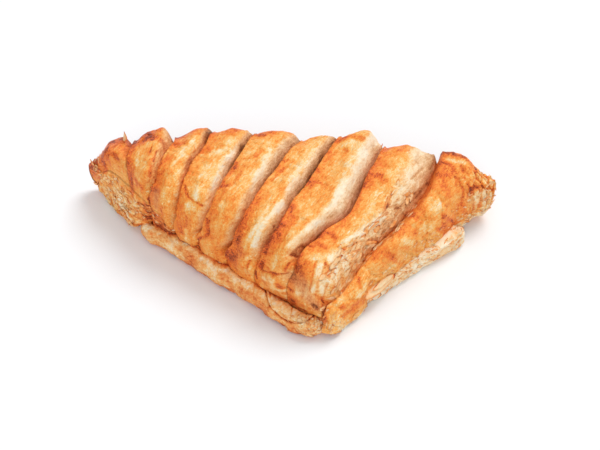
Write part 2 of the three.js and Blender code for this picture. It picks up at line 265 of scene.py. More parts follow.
# How far each cut slides along the pastry, one row a cut, at these shares of its length.
SLIDE_SHARES = (0, 0.03, 0.12, 0.25, 0.42, 0.7, 1)
CUT_SLIDE = np.array([
    (0, 0, 0, 0, 0, 0, 0),
    (-2.2, -2.7, -3.6, -3.1, -2.3, -1.0, 0.0),
    (-0.4, 0.7, 2.9, 2.6, 2.1, 3.0, 0.8),
    (0.6, 2.3, 2.8, 2.1, 1.0, 1.8, 1.7),
    (-2.6, 1.4, 3.3, 3.7, 3.4, 2.3, 2.8),
    (-3.0, 1.2, 3.0, 3.8, 3.9, 4.3, 4.0),
    (-2.8, 0.3, 2.1, 1.7, 1.2, 1.2, 2.4),
    (-4.0, -2.4, -2.6, -0.5, 4.4, 1.9, 2.2),
    (0, 0, 0, 0, 0, 0, 0.2),
    (0, 0, 0, 0, 0, 0, 0),
])
# The last cut runs beside the right leg, bulges out near the fold and turns back to it.
LAST_CUT_SHARES = (0, 0.06, 0.13, 0.21, 0.30, 0.39, 0.50, 0.60, 0.72, 0.80, 0.89, 1)
LAST_CUT_SWAY = (0, 4.4, 4.7, 4.7, 4.9, 5.7, 7.6, 8.4, 8.8, 8.1, 6.0, 0)
NOSE_PUSH = 2.4


def across_cuts(values, q):
    return np.interp(q, CUT_NUMBERS, values)


print("cuts:", len(CUT_FOOT) - 2, "slats:", len(SLAT_CROWN))

# %% [markdown]
# ## The plan of the top sheet
# Any point of the sheet is named by its column `q` and its share `t` of the way from
# the front edge to the fold. The functions take whole arrays, because NumPy works out
# seventy thousand points at once in less time than a loop needs for a hundred.

# %% Plan of the top sheet
END_DIRECTION = unit(SHOULDER - LEFT_TIP)
LEG_DIRECTION = unit(NOSE - SHOULDER)
RIGHT_DIRECTION = unit(RIGHT_TIP - NOSE)
FOLD_DIRECTION = unit(RIGHT_TIP - LEFT_TIP)
END_OUT = outward(END_DIRECTION)
LEG_OUT = outward(LEG_DIRECTION)
RIGHT_OUT = outward(RIGHT_DIRECTION)


def on_end(length):
    """1 along the blunt left end, 0 at the tip and on the leg."""
    return smooth(length / 16) * smooth((END_LENGTH + 4 - length) / 14)


def front_edge(length):
    past = np.asarray(length) - END_LENGTH
    setback = END_SETBACK * on_end(np.asarray(length))
    along_leg = 0.5 * (past + np.hypot(past, SHOULDER_SOFTNESS))
    bow = LEG_BOW * hump(clamp01(past / LEG_LENGTH))
    return (SHOULDER + (past - along_leg)[..., None] * END_DIRECTION
            + along_leg[..., None] * LEG_DIRECTION + bow[..., None] * LEG_OUT
            - setback[..., None] * END_OUT)


def fold_edge(length):
    length = np.asarray(length)
    point = LEFT_TIP + length[..., None] * FOLD_DIRECTION
    point[..., 1] += FOLD_BOW * hump(length / FOLD_LENGTH)
    return point


def right_swell(u):
    return np.interp(u * RIGHT_LENGTH, RIGHT_STATIONS, RIGHT_SWELL)


def last_cut_sway(share):
    """The table, eased by averaging it over a short stretch."""
    steps = (-0.05, -0.025, 0, 0.025, 0.05)
    near = [np.interp(share + step, LAST_CUT_SHARES, LAST_CUT_SWAY) for step in steps]
    return sum(near) / len(near)


def cut_slide(q, t):
    stages = [across_cuts(CUT_SLIDE[:, stage], q) for stage in range(len(SLIDE_SHARES))]
    slide = stages[0]
    for low, high, stage in zip(SLIDE_SHARES, SLIDE_SHARES[1:], stages[1:]):
        slide = lerp(slide, stage, smooth((t - low) / (high - low)))
    return slide


def plan_point(q, t):
    foot = front_edge(across_cuts(CUT_FOOT, q))
    head = fold_edge(across_cuts(CUT_HEAD, q))
    span = head - foot
    full = np.linalg.norm(span, axis=-1)
    direction = span / full[..., None]
    first = corner_trim((NOSE - foot) @ RIGHT_OUT, NOSE_RADIUS) / full
    last = 1 - corner_trim((RIGHT_TIP - head) @ RIGHT_OUT, RIGHT_TIP_RADIUS) / full
    share = lerp(first, last, t)
    sway = across_cuts(CUT_SWAY, q) * hump(share) + last_cut_sway(share) * clamp01(1 - np.abs(q - 8))
    swell = right_swell(share) * smooth(q - 8)
    slide_way = lerp(LEG_DIRECTION, FOLD_DIRECTION, smooth(t / 0.3)[..., None])
    point = (foot + share[..., None] * span + sway[..., None] * outward(direction)
             + swell[..., None] * RIGHT_OUT + cut_slide(q, t)[..., None] * slide_way)
    push = NOSE_PUSH * smooth((q - 8) / CUT_EDGE_SHARE) * (1.4 - clamp01(q - 8)) * (1 - smooth(t / 0.035))
    point = point - push[..., None] * np.array([0.0, 1.0])
    return point, direction, full * (last - first)


half_way = np.array([4.5]), np.array([0.5])
print("a middle slat is", round(float(plan_point(*half_way)[2][0])), "mm long")

# %% [markdown]
# ## The risen sheet
# Before its slats are added, the top is one smooth swell: it climbs steeply from the
# blunt left end, the leg and the fold, and gently from the right leg and the two tips.

# %% The risen sheet
def rim_height(q, point, from_front, from_right, from_fold):
    foot = across_cuts(CUT_FOOT, q)
    leg = lerp(RIM_LEG, RIM_NOSE, smooth((foot - 60) / 60))
    leg = lerp(leg, RIM_RIGHT[0], smooth((q - 8) / CUT_EDGE_SHARE))
    near_left = smooth(1 - distance(point, LEFT_TIP) / 28)
    near_right = smooth(1 - distance(point, RIGHT_TIP) / 30)
    front = lerp(RIM_END, leg, smooth((foot - 50) / 10)) - LEFT_TIP_DROOP * near_left
    along_right = (point - NOSE) @ RIGHT_DIRECTION
    right = np.interp(along_right, RIGHT_STATIONS, RIM_RIGHT) + RIGHT_TIP_LIFT * near_right
    heights = (front, right, RIM_FOLD)
    weights = [1 / (span + 0.6) ** 2 for span in (from_front, from_right, from_fold)]
    return sum(w * h for w, h in zip(weights, heights)) / sum(weights)


def cross2(a, b):
    return a[..., 0] * b[..., 1] - a[..., 1] * b[..., 0]


# Height of the last cut near the nose, at these shares of its length, on its left and right.
ROLL_SHARES = (0, 0.004, 0.012, 0.03, 0.06, 0.1, 0.2, 0.35)
ROLL_LEFT = (7.5, 9.5, 12, 13.5, 14, 14.5, 17, 20.5)
ROLL_RIGHT = (2.6, 7, 11, 13.5, 14, 14.5, 17, 20.5)


def nose_roll(q, t, height):
    """Near the nose the last slat rolls down from its cut to the table in a quarter turn."""
    share = clamp01(q - 8)
    rim = np.interp(t * RIGHT_LENGTH, RIGHT_STATIONS, RIM_RIGHT)
    rolled = lerp(rim, np.interp(t, ROLL_SHARES, ROLL_RIGHT), np.sqrt(1 - share ** 2.6))
    cut_height = np.interp(t, ROLL_SHARES, ROLL_LEFT)
    held_up = 0.5 * (height + cut_height + np.hypot(height - cut_height, 1.5))
    near_nose = 1 - smooth((t - 0.2) / 0.2)
    return lerp(height, np.where(q > 8, rolled, held_up), near_nose * smooth((q - 7.1) / 0.4))


def risen_sheet(q, t):
    points, length = open_sheet(q, t)
    height = nose_roll(q, t, points[..., 2])
    return np.concatenate([points[..., :2], height[..., None]], axis=-1), length


def open_sheet(q, t):
    point, direction, length = plan_point(q, t)
    foot = across_cuts(CUT_FOOT, q)
    edge = unit_rows(front_edge(foot + 0.1) - front_edge(foot - 0.1))
    from_front = length * t * np.abs(cross2(edge, direction))
    from_fold = length * (1 - t) * np.abs(cross2(FOLD_DIRECTION + 0 * direction, direction))
    from_nose = point - NOSE
    swell = right_swell(clamp01(from_nose @ RIGHT_DIRECTION / RIGHT_LENGTH)) * smooth(q - 8)
    from_right = np.where(q >= 9, 0, np.maximum(swell - from_nose @ RIGHT_OUT, 0))
    risen = soft_least(
        climb(from_front, lerp(9, 14, smooth((foot - 30) / 20)), 2.2),
        climb(from_fold, 11, 2.6),
        climb(from_right, 42, 2.4),
        climb(distance(point, LEFT_TIP), 40, 1.4, start=1),
        climb(distance(point, RIGHT_TIP), 48, 1.45, start=2),
    )
    rim = rim_height(q, point, from_front, from_right, from_fold)
    height = lerp(rim, CREST, risen)
    return np.concatenate([point, height[..., None]], axis=-1), length


print("its middle stands", round(float(risen_sheet(*half_way)[0][0, 2]), 1), "mm high")

# %% [markdown]
# ## Noise for crumpled pastry
# Value noise puts a random number on every crossing of a grid and eases between them.
# Several sizes of it on top of each other look crumpled. Cell noise measures how near
# the border between two cells is, which looks like cracked and blistered layers.

# %% Noise
def lattice_value(i, j):
    s = np.sin(i * 127.1 + j * 311.7) * 43758.5453
    return s - np.floor(s)


def bumps(x, y):
    i, j = np.floor(x), np.floor(y)
    u, v = smooth(x - i), smooth(y - j)
    near = lerp(lattice_value(i, j), lattice_value(i + 1, j), u)
    far = lerp(lattice_value(i, j + 1), lattice_value(i + 1, j + 1), u)
    return 2 * lerp(near, far, v) - 1


def crumple(x, y, octaves=3):
    total, weight = 0.0, 0.0
    for octave in range(octaves):
        size = 2.03**octave
        total = total + bumps(x * size + 5.2 * octave, y * size - 3.7 * octave) / size
        weight += 1 / size
    return total / weight


def cells(x, y):
    """Distance to the nearest cell centre and to the border between two cells."""
    i, j = np.floor(x), np.floor(y)
    nearest = np.full(np.shape(x), 9.0)
    second = np.full(np.shape(x), 9.0)
    for di in (-1, 0, 1):
        for dj in (-1, 0, 1):
            cx = i + di + lattice_value(i + di, j + dj)
            cy = j + dj + lattice_value(i + di + 31, j + dj + 17)
            away = np.hypot(x - cx, y - cy)
            second = np.minimum(second, np.maximum(nearest, away))
            nearest = np.minimum(nearest, away)
    return nearest, second - nearest


print("three bumps:", [round(float(bumps(x, 0.5)), 2) for x in (0.5, 1.5, 2.5)])

# %% [markdown]
# ## A grid that follows the surface
# The sheet climbs ten millimetres within the first two from its rim, so rows that are
# even on the plan would be far apart there. Both rows and columns are spread by the
# distance walked over the risen sheet instead. Each cut's sharp edge gets three extra
# columns, because the sheet drops five millimetres within one.

# %% Rows and columns
ROWS = 204
MIDDLE_COLUMN = 4.5
MIDDLE_SHARE = 0.45
SLAT_COLUMNS = [44, 30, 34, 34, 34, 34, 40, 42, 50]
EDGE_COLUMNS = (0.0, 0.3, 0.65)
FINE_STEPS = 2001


def even_steps(q, t, count):
    """Shares 0 to 1 of the way along a line of the sheet, evenly spaced on its surface."""
    points, _ = risen_sheet(q, t)
    walked = walked_along(points)
    shares = np.linspace(0, 1, len(points))
    return np.interp(np.linspace(0, walked[-1], count + 1), walked, shares)


def row_positions():
    t = np.linspace(0, 1, FINE_STEPS)
    return even_steps(np.full(FINE_STEPS, MIDDLE_COLUMN), t, ROWS)


def column_positions():
    positions = []
    for k, count in enumerate(SLAT_COLUMNS):
        start = k + CUT_EDGE_SHARE if k > 0 else k
        if k > 0:
            positions += [k + CUT_EDGE_SHARE * share for share in EDGE_COLUMNS]
        line = np.linspace(start, k + 1, FINE_STEPS)
        shares = even_steps(line, np.full(FINE_STEPS, MIDDLE_SHARE), count)[:-1]
        positions += list(start + shares * (k + 1 - start))
    return np.array(positions + [float(len(SLAT_COLUMNS))])


columns, rows = column_positions(), row_positions()
sheet_q, sheet_t = np.meshgrid(columns, rows, indexing="ij")
smooth_points, sheet_length = risen_sheet(sheet_q, sheet_t)
print("grid:", smooth_points.shape[:2])

# %% [markdown]
# ## Where a point is in its slat
# Colour and relief both need to know how far a point is across its slat and along it,
# in millimetres, how far it is down the slat's pale wall, and how near the rim it is.

# %% Places within the slats
def walked_rows(points):
    steps = np.linalg.norm(np.diff(points, axis=1), axis=-1)
    return np.concatenate([np.zeros((len(points), 1)), np.cumsum(steps, axis=1)], axis=1)


def slat_place(q, t, points, length):
    k = np.clip(np.floor(q).astype(int), 0, len(SLAT_CROWN) - 1)
    share = q - k
    left, right = plan_point(k.astype(float), t)[0], plan_point(k + 1.0, t)[0]
    width = np.linalg.norm(right - left, axis=-1)
    wall = np.maximum(SLAT_WALL[k], 1e-6)
    along = t * length
    walked = walked_rows(points)
    return {
        "k": k, "share": share, "width": width, "across": share * width,
        "along": along, "length": length, "x": points[..., 0], "y": points[..., 1],
        "walked": walked, "to_fold": walked[:, -1:] - walked,
        "on_wall": np.where(SLAT_WALL[k] > 0, clamp01((share - 1 + wall) / wall), 0),
        "inside": smooth(walked / 9) * smooth((walked[:, -1:] - walked) / 8),
        "skin": smooth(walked / 5) * smooth((walked[:, -1:] - walked) / 4),
    }


def streaks(points):
    """Distances across and along the middle slats. They run straight where the slats fan out."""
    return points[..., 0] * SLAT_ACROSS[0] + points[..., 1] * SLAT_ACROSS[1], \
        points[..., 0] * -SLAT_ACROSS[1] + points[..., 1] * SLAT_ACROSS[0]


SLAT_ACROSS = (0.89, -0.45)
place = slat_place(sheet_q, sheet_t, smooth_points, sheet_length)
place["side"], place["on"] = streaks(smooth_points)
print("widest slat, mm:", round(float(place["width"].max()), 1))

# %% [markdown]
# ## Relief on the top sheet
# The relief is a height added along the sheet's own normal. It has the hump of each
# slat, the cut beside it, the crumpling of the crust, and the torn layers next to the
# last cut. Each is one short function, so each can be tried out alone.

# %% Slats and cuts as relief
EDGE_RIDGE = 0.45
CUT_OPENING = 1.25
CROWN_SWELL = 0.9
WALL_STEEPNESS = 1.7


def cut_depth(cut, at):
    depth = lerp(CUT_FOOT_DEPTH[cut], CUT_HEAD_DEPTH[cut], (at["along"] / at["length"]) ** 1.5)
    opened = smooth((at["walked"] - CUT_START[cut]) / CUT_FADE)
    return CUT_OPENING * depth * opened * smooth(at["to_fold"] / FOLD_FADE)


def slat_relief(at):
    k, share = at["k"], at["share"]
    skew = np.log(0.5) / np.log(SLAT_PEAK[k])
    crown = (SLAT_CROWN[k] + CROWN_SWELL * (k > 0)) * np.sin(np.pi * share ** skew)
    flat_at_nose = lerp(0.2, 1, smooth((at["along"] / at["length"] - 0.15) / 0.3))
    crown = crown * np.where(k == 8, flat_at_nose, 1)
    left = (1 - smooth(share / CUT_EDGE_SHARE)) * left_depth
    right = at["on_wall"] ** WALL_STEEPNESS * right_depth
    ridge = EDGE_RIDGE * smooth(at["across"] / 0.6) * (1 - smooth((at["across"] - 0.9) / 1.6))
    ridge = ridge * clamp01(left_depth / 3)
    return crown * at["inside"] + ridge - left - right


left_depth = cut_depth(place["k"], place)
right_depth = cut_depth(place["k"] + 1, place)
print("deepest cut, mm:", round(float(left_depth.max()), 1))

# %% [markdown]
# ## Crumpling and torn layers
# Between the cuts the crust is crumpled, blistered and creased. Beside the last cut its
# layers have torn into ragged leaves, the shelf under two of the feet is rough, and
# wrinkles turn round the right tip. Displacement of a subdivided sheet would do too, but
# plain functions of the place keep every number within reach of the browning.

# %% Crumpling, blisters and creases as relief
WRINKLE_SIZE = 7
WRINKLE_HEIGHT = 0.45


def on_shelf(at):
    """1 on the crumpled shelf under the feet of slats 6 and 7."""
    q = at["k"] + at["share"]
    return smooth((q - 6.1) * 5) * smooth((7.7 - q) * 3) * smooth((12 - at["walked"]) / 4)


def wrinkles_round_tip(at):
    """1 along the wrinkles of the last slat, which turn round its end."""
    x, y = at["x"], at["y"]
    folds = 1 - np.abs(bumps(x / 4.5 + y / 9 + 3, y / 6))
    finer = 1 - np.abs(bumps(x / 2.0 + y / 5 + 9, y / 5 + 4))
    on_panel = smooth((at["k"] == 8) * at["share"] * 4) * at["skin"] * smooth((x - 40) / 20)
    return (smooth((folds - 0.8) / 0.2) + 0.6 * smooth((finer - 0.8) / 0.2)) * on_panel


def crumpled_crust(at):
    x, y = at["x"], at["y"]
    lumps = 0.7 * bumps(x / 15, y / 15 + 60)
    big = WRINKLE_HEIGHT * bumps(x / WRINKLE_SIZE, y / WRINKLE_SIZE)
    middle = 0.28 * crumple(x / 3.3 + 4, y / 3.3)
    fine = 0.13 * crumple(x / 1.2, y / 1.2 + 9) + 0.75 * on_shelf(at) * crumple(x / 2.6, at["walked"] / 2.0)
    blister_place, _ = cells(x / 8.5, y / 8.5)
    blisters = 0.45 * smooth(1 - blister_place / 0.42)
    return (lumps + big + middle + blisters) * at["inside"] + fine * at["skin"]


def creases(at):
    """Short sharp folds across the slats, where the crust shrank as it cooled."""
    bend = 0.5 * bumps(at["across"] / 4, at["k"] * 3.1)
    fold = 1 - np.abs(bumps(at["walked"] / 2.6 + bend, at["across"] / 9))
    return -0.4 * smooth((fold - 0.86) / 0.14) * at["skin"]


print("deepest crease, mm:", round(float(-creases(place).min()), 2))

# %% Torn layers and rough lumps as relief
TORN_COLUMN, TORN_COLUMN_REACH = 7.76, 0.42
TORN_SHARE, TORN_SHARE_REACH = 0.38, 0.46
TERRACE_STEP = 0.30
LUMP_SIZE = 2.7
LUMPS_FORWARD = 3


def torn_zone(q, t):
    across = smooth((1 - np.abs(q - TORN_COLUMN) / TORN_COLUMN_REACH) * 1.6)
    return across * smooth((1 - np.abs(t - TORN_SHARE) / TORN_SHARE_REACH) * 1.6)


def leaf_steps(at):
    """How far up its leaf of crust a point is: 0 where a leaf starts, 1 at its torn edge."""
    field = 2.6 * crumple(at["side"] / 3.6 + 2.3 * at["k"], at["on"] / 9 + 5, 3)
    return field - np.floor(field)


def terraces(at):
    """Leaves of crust that lie over each other, each ending in a small step."""
    return TERRACE_STEP * torn * (leaf_share_at ** 2) * at["skin"]


def wall_layers(at):
    """Fine lines that run along the pale side of a slat, where its layers parted."""
    lines = bumps(at["across"] / 0.9, at["walked"] / 11)
    finer = bumps(at["across"] / 0.45 + 3, at["walked"] / 5)
    return (0.12 * lines + 0.06 * finer) * smooth(at["on_wall"] * 3) * at["inside"] * (1 - torn)


def torn_layers(at):
    strips = bumps(at["side"] / 2.0, at["on"] / 9 + 7)
    ragged = bumps(at["side"] / 1.1 + 2, at["on"] / 3.5)
    return (0.5 * strips + 0.25 * ragged) * torn


def from_right_tip(at):
    """Distance to the middle of the rough lumps on the right tip."""
    return np.hypot(at["x"] - RIGHT_TIP[0], at["y"] - RIGHT_TIP[1] + LUMPS_FORWARD)


def from_left_tip(at):
    return np.hypot(at["x"] - LEFT_TIP[0], at["y"] - LEFT_TIP[1])


def lump_gaps(at):
    """How far a point is from the gap between two lumps, in lumps."""
    return cells(at["x"] / LUMP_SIZE, at["y"] / LUMP_SIZE)[1]


def panel_wrinkles(at):
    """Rough lumps where the last slat thickens into the right tip, and wrinkles above them."""
    near_tip = smooth(1 - from_right_tip(at) / 26)
    lumps = smooth(lump_gaps(at) / 0.35) - 0.55
    return near_tip * lumps * at["skin"] - 0.55 * wrinkles_round_tip(at)


torn = torn_zone(sheet_q, sheet_t)
leaf_share_at = leaf_steps(place)
print("torn share of the grid:", round(float((torn > 0.5).mean()), 3))

# %% [markdown]
# ## Marks of the oven
# A few things on the crust are single events and follow no rule: a burst blister, a
# scorched spot, a slit, a pit. Each is a soft oval at a column, a distance up from the
# front edge, with its half length and half width in millimetres. It can darken the
# crust, or pale it below zero, and it can raise or sink it.

# %% Marks of the oven
# column, up from the front, half length, half width, browning, height
MARKS = (
    (0.55, 10, 2.6, 1.6, 0.3, 0), (0.35, 20, 2, 3.5, 0.25, 0), (0.8, 24, 3, 3, 0.2, 0.3),
    (1.12, 8, 6, 1.4, 0.26, 0), (1.45, 5, 1.5, 1.3, 0.32, 0), (1.62, 22, 2.6, 0.4, 0.5, -0.7),
    (1.5, 40, 2.5, 4, 0.25, 0), (1.25, 34, 3, 1.2, 0.18, 0), (1.3, 14, 6, 1, -0.22, 0.2),
    (2.03, 2.5, 3.2, 0.7, 0.55, -0.9), (2.1, 44, 8, 0.9, 0.3, 0), (2.5, 12, 7, 1.2, -0.15, 0.1),
    (2.45, 20, 2.2, 1.6, 0.18, 0), (2.6, 5, 3, 2, 0.22, 0),
    (3.46, 23.5, 2.6, 1.2, -0.34, 0.5), (3.45, 18, 1.5, 3, -0.22, 0.1),
    (3.35, 10, 5, 2.2, 0.2, 0), (3.55, 6, 4, 1, -0.2, 0.1), (3.45, 62, 5, 3, 0.2, 0.2),
    (4.12, 33, 2.6, 1.4, 0.34, 0), (4.38, 54, 3.4, 2, 0.26, -0.2), (4.3, 40, 6, 0.8, 0.22, 0),
    (4.28, 27, 3, 0.9, -0.24, 0.1), (4.35, 12, 4, 1.6, 0.2, 0), (4.25, 72, 6, 2.5, 0.24, 0.2),
    (5.18, 17, 0.4, 0.4, 0.7, -0.6), (5.15, 22, 8, 2.4, 0.2, 0), (5.45, 24, 6, 1.2, -0.3, 0.2),
    (5.3, 59, 0.6, 1.7, 0.2, -0.3), (5.3, 62, 0.6, 1.7, 0.2, -0.3), (5.3, 60.5, 1.2, 1.2, -0.12, 0.4),
    (5.2, 8, 3.5, 2.4, 0.32, 0), (5.55, 14, 3, 1.5, 0.16, 0),
    (6.32, 80, 3, 1.8, 0.34, 0.2), (6.12, 57, 2.4, 1.4, 0.28, 0), (6.15, 26, 8, 3.6, 0.22, 0),
    (6.1, 40, 3, 1, 0.24, 0), (6.55, 70, 4, 3, 0.12, -0.2), (6.45, 18, 5, 1.2, -0.16, 0.1),
    (6.72, 53, 3.4, 0.8, 0.42, -0.3), (6.78, 47, 2.6, 0.7, 0.36, -0.3), (6.45, 8, 2.6, 2.2, 0.34, -0.2),
    (7.02, 37, 3.4, 2, 0.26, 0), (7.08, 72, 7, 3, 0.24, 0), (7.2, 80, 3, 4, 0.14, 0),
    (7.12, 20, 4, 3, 0.16, 0), (7.28, 54, 8, 1.6, -0.1, 0.2), (7.72, 62, 1.6, 1, 0.5, -0.6),
    (7.9, 9, 4, 3.4, 0.22, -0.3), (8.1, 7, 1.6, 1.6, 0.55, 0.3), (7.62, 90, 8, 0.5, 0.3, -0.2),
    (8.3, 76, 4.5, 2.4, -0.3, 0.3), (8.6, 66, 3, 1.5, -0.24, 0.2), (8.7, 92, 4, 2.4, 0.12, 0),
    (8.4, 104, 5, 4, 0.22, 0.3), (8.5, 40, 7, 2, 0.14, 0), (8.75, 26, 6, 1.4, -0.18, 0.2),
)


def oven_marks(q, at):
    """The browning and the height that all the marks add together."""
    browned, raised = 0 * q, 0 * q
    for column, up, half_length, half_wide, brown, height in MARKS:
        away = ((q - column) * at["width"] / half_wide) ** 2 + ((at["walked"] - up) / half_length) ** 2
        oval = np.exp(-(away ** 1.3))
        browned += (0.8 * brown if brown > 0 else brown) * oval
        raised += height * oval
    return browned, raised


mark_brown, mark_height = oven_marks(sheet_q, place)
print("marks:", len(MARKS))

# %% [markdown]
# ## Strokes: cracks, outlines of leaves, pale strips
# Marks that are long and thin follow a line. Each stroke is a few points, as column and
# distance up, with a half width in millimetres and what it adds to browning, height and
# raw dough. A torn leaf is a pale strip between two brown strokes.

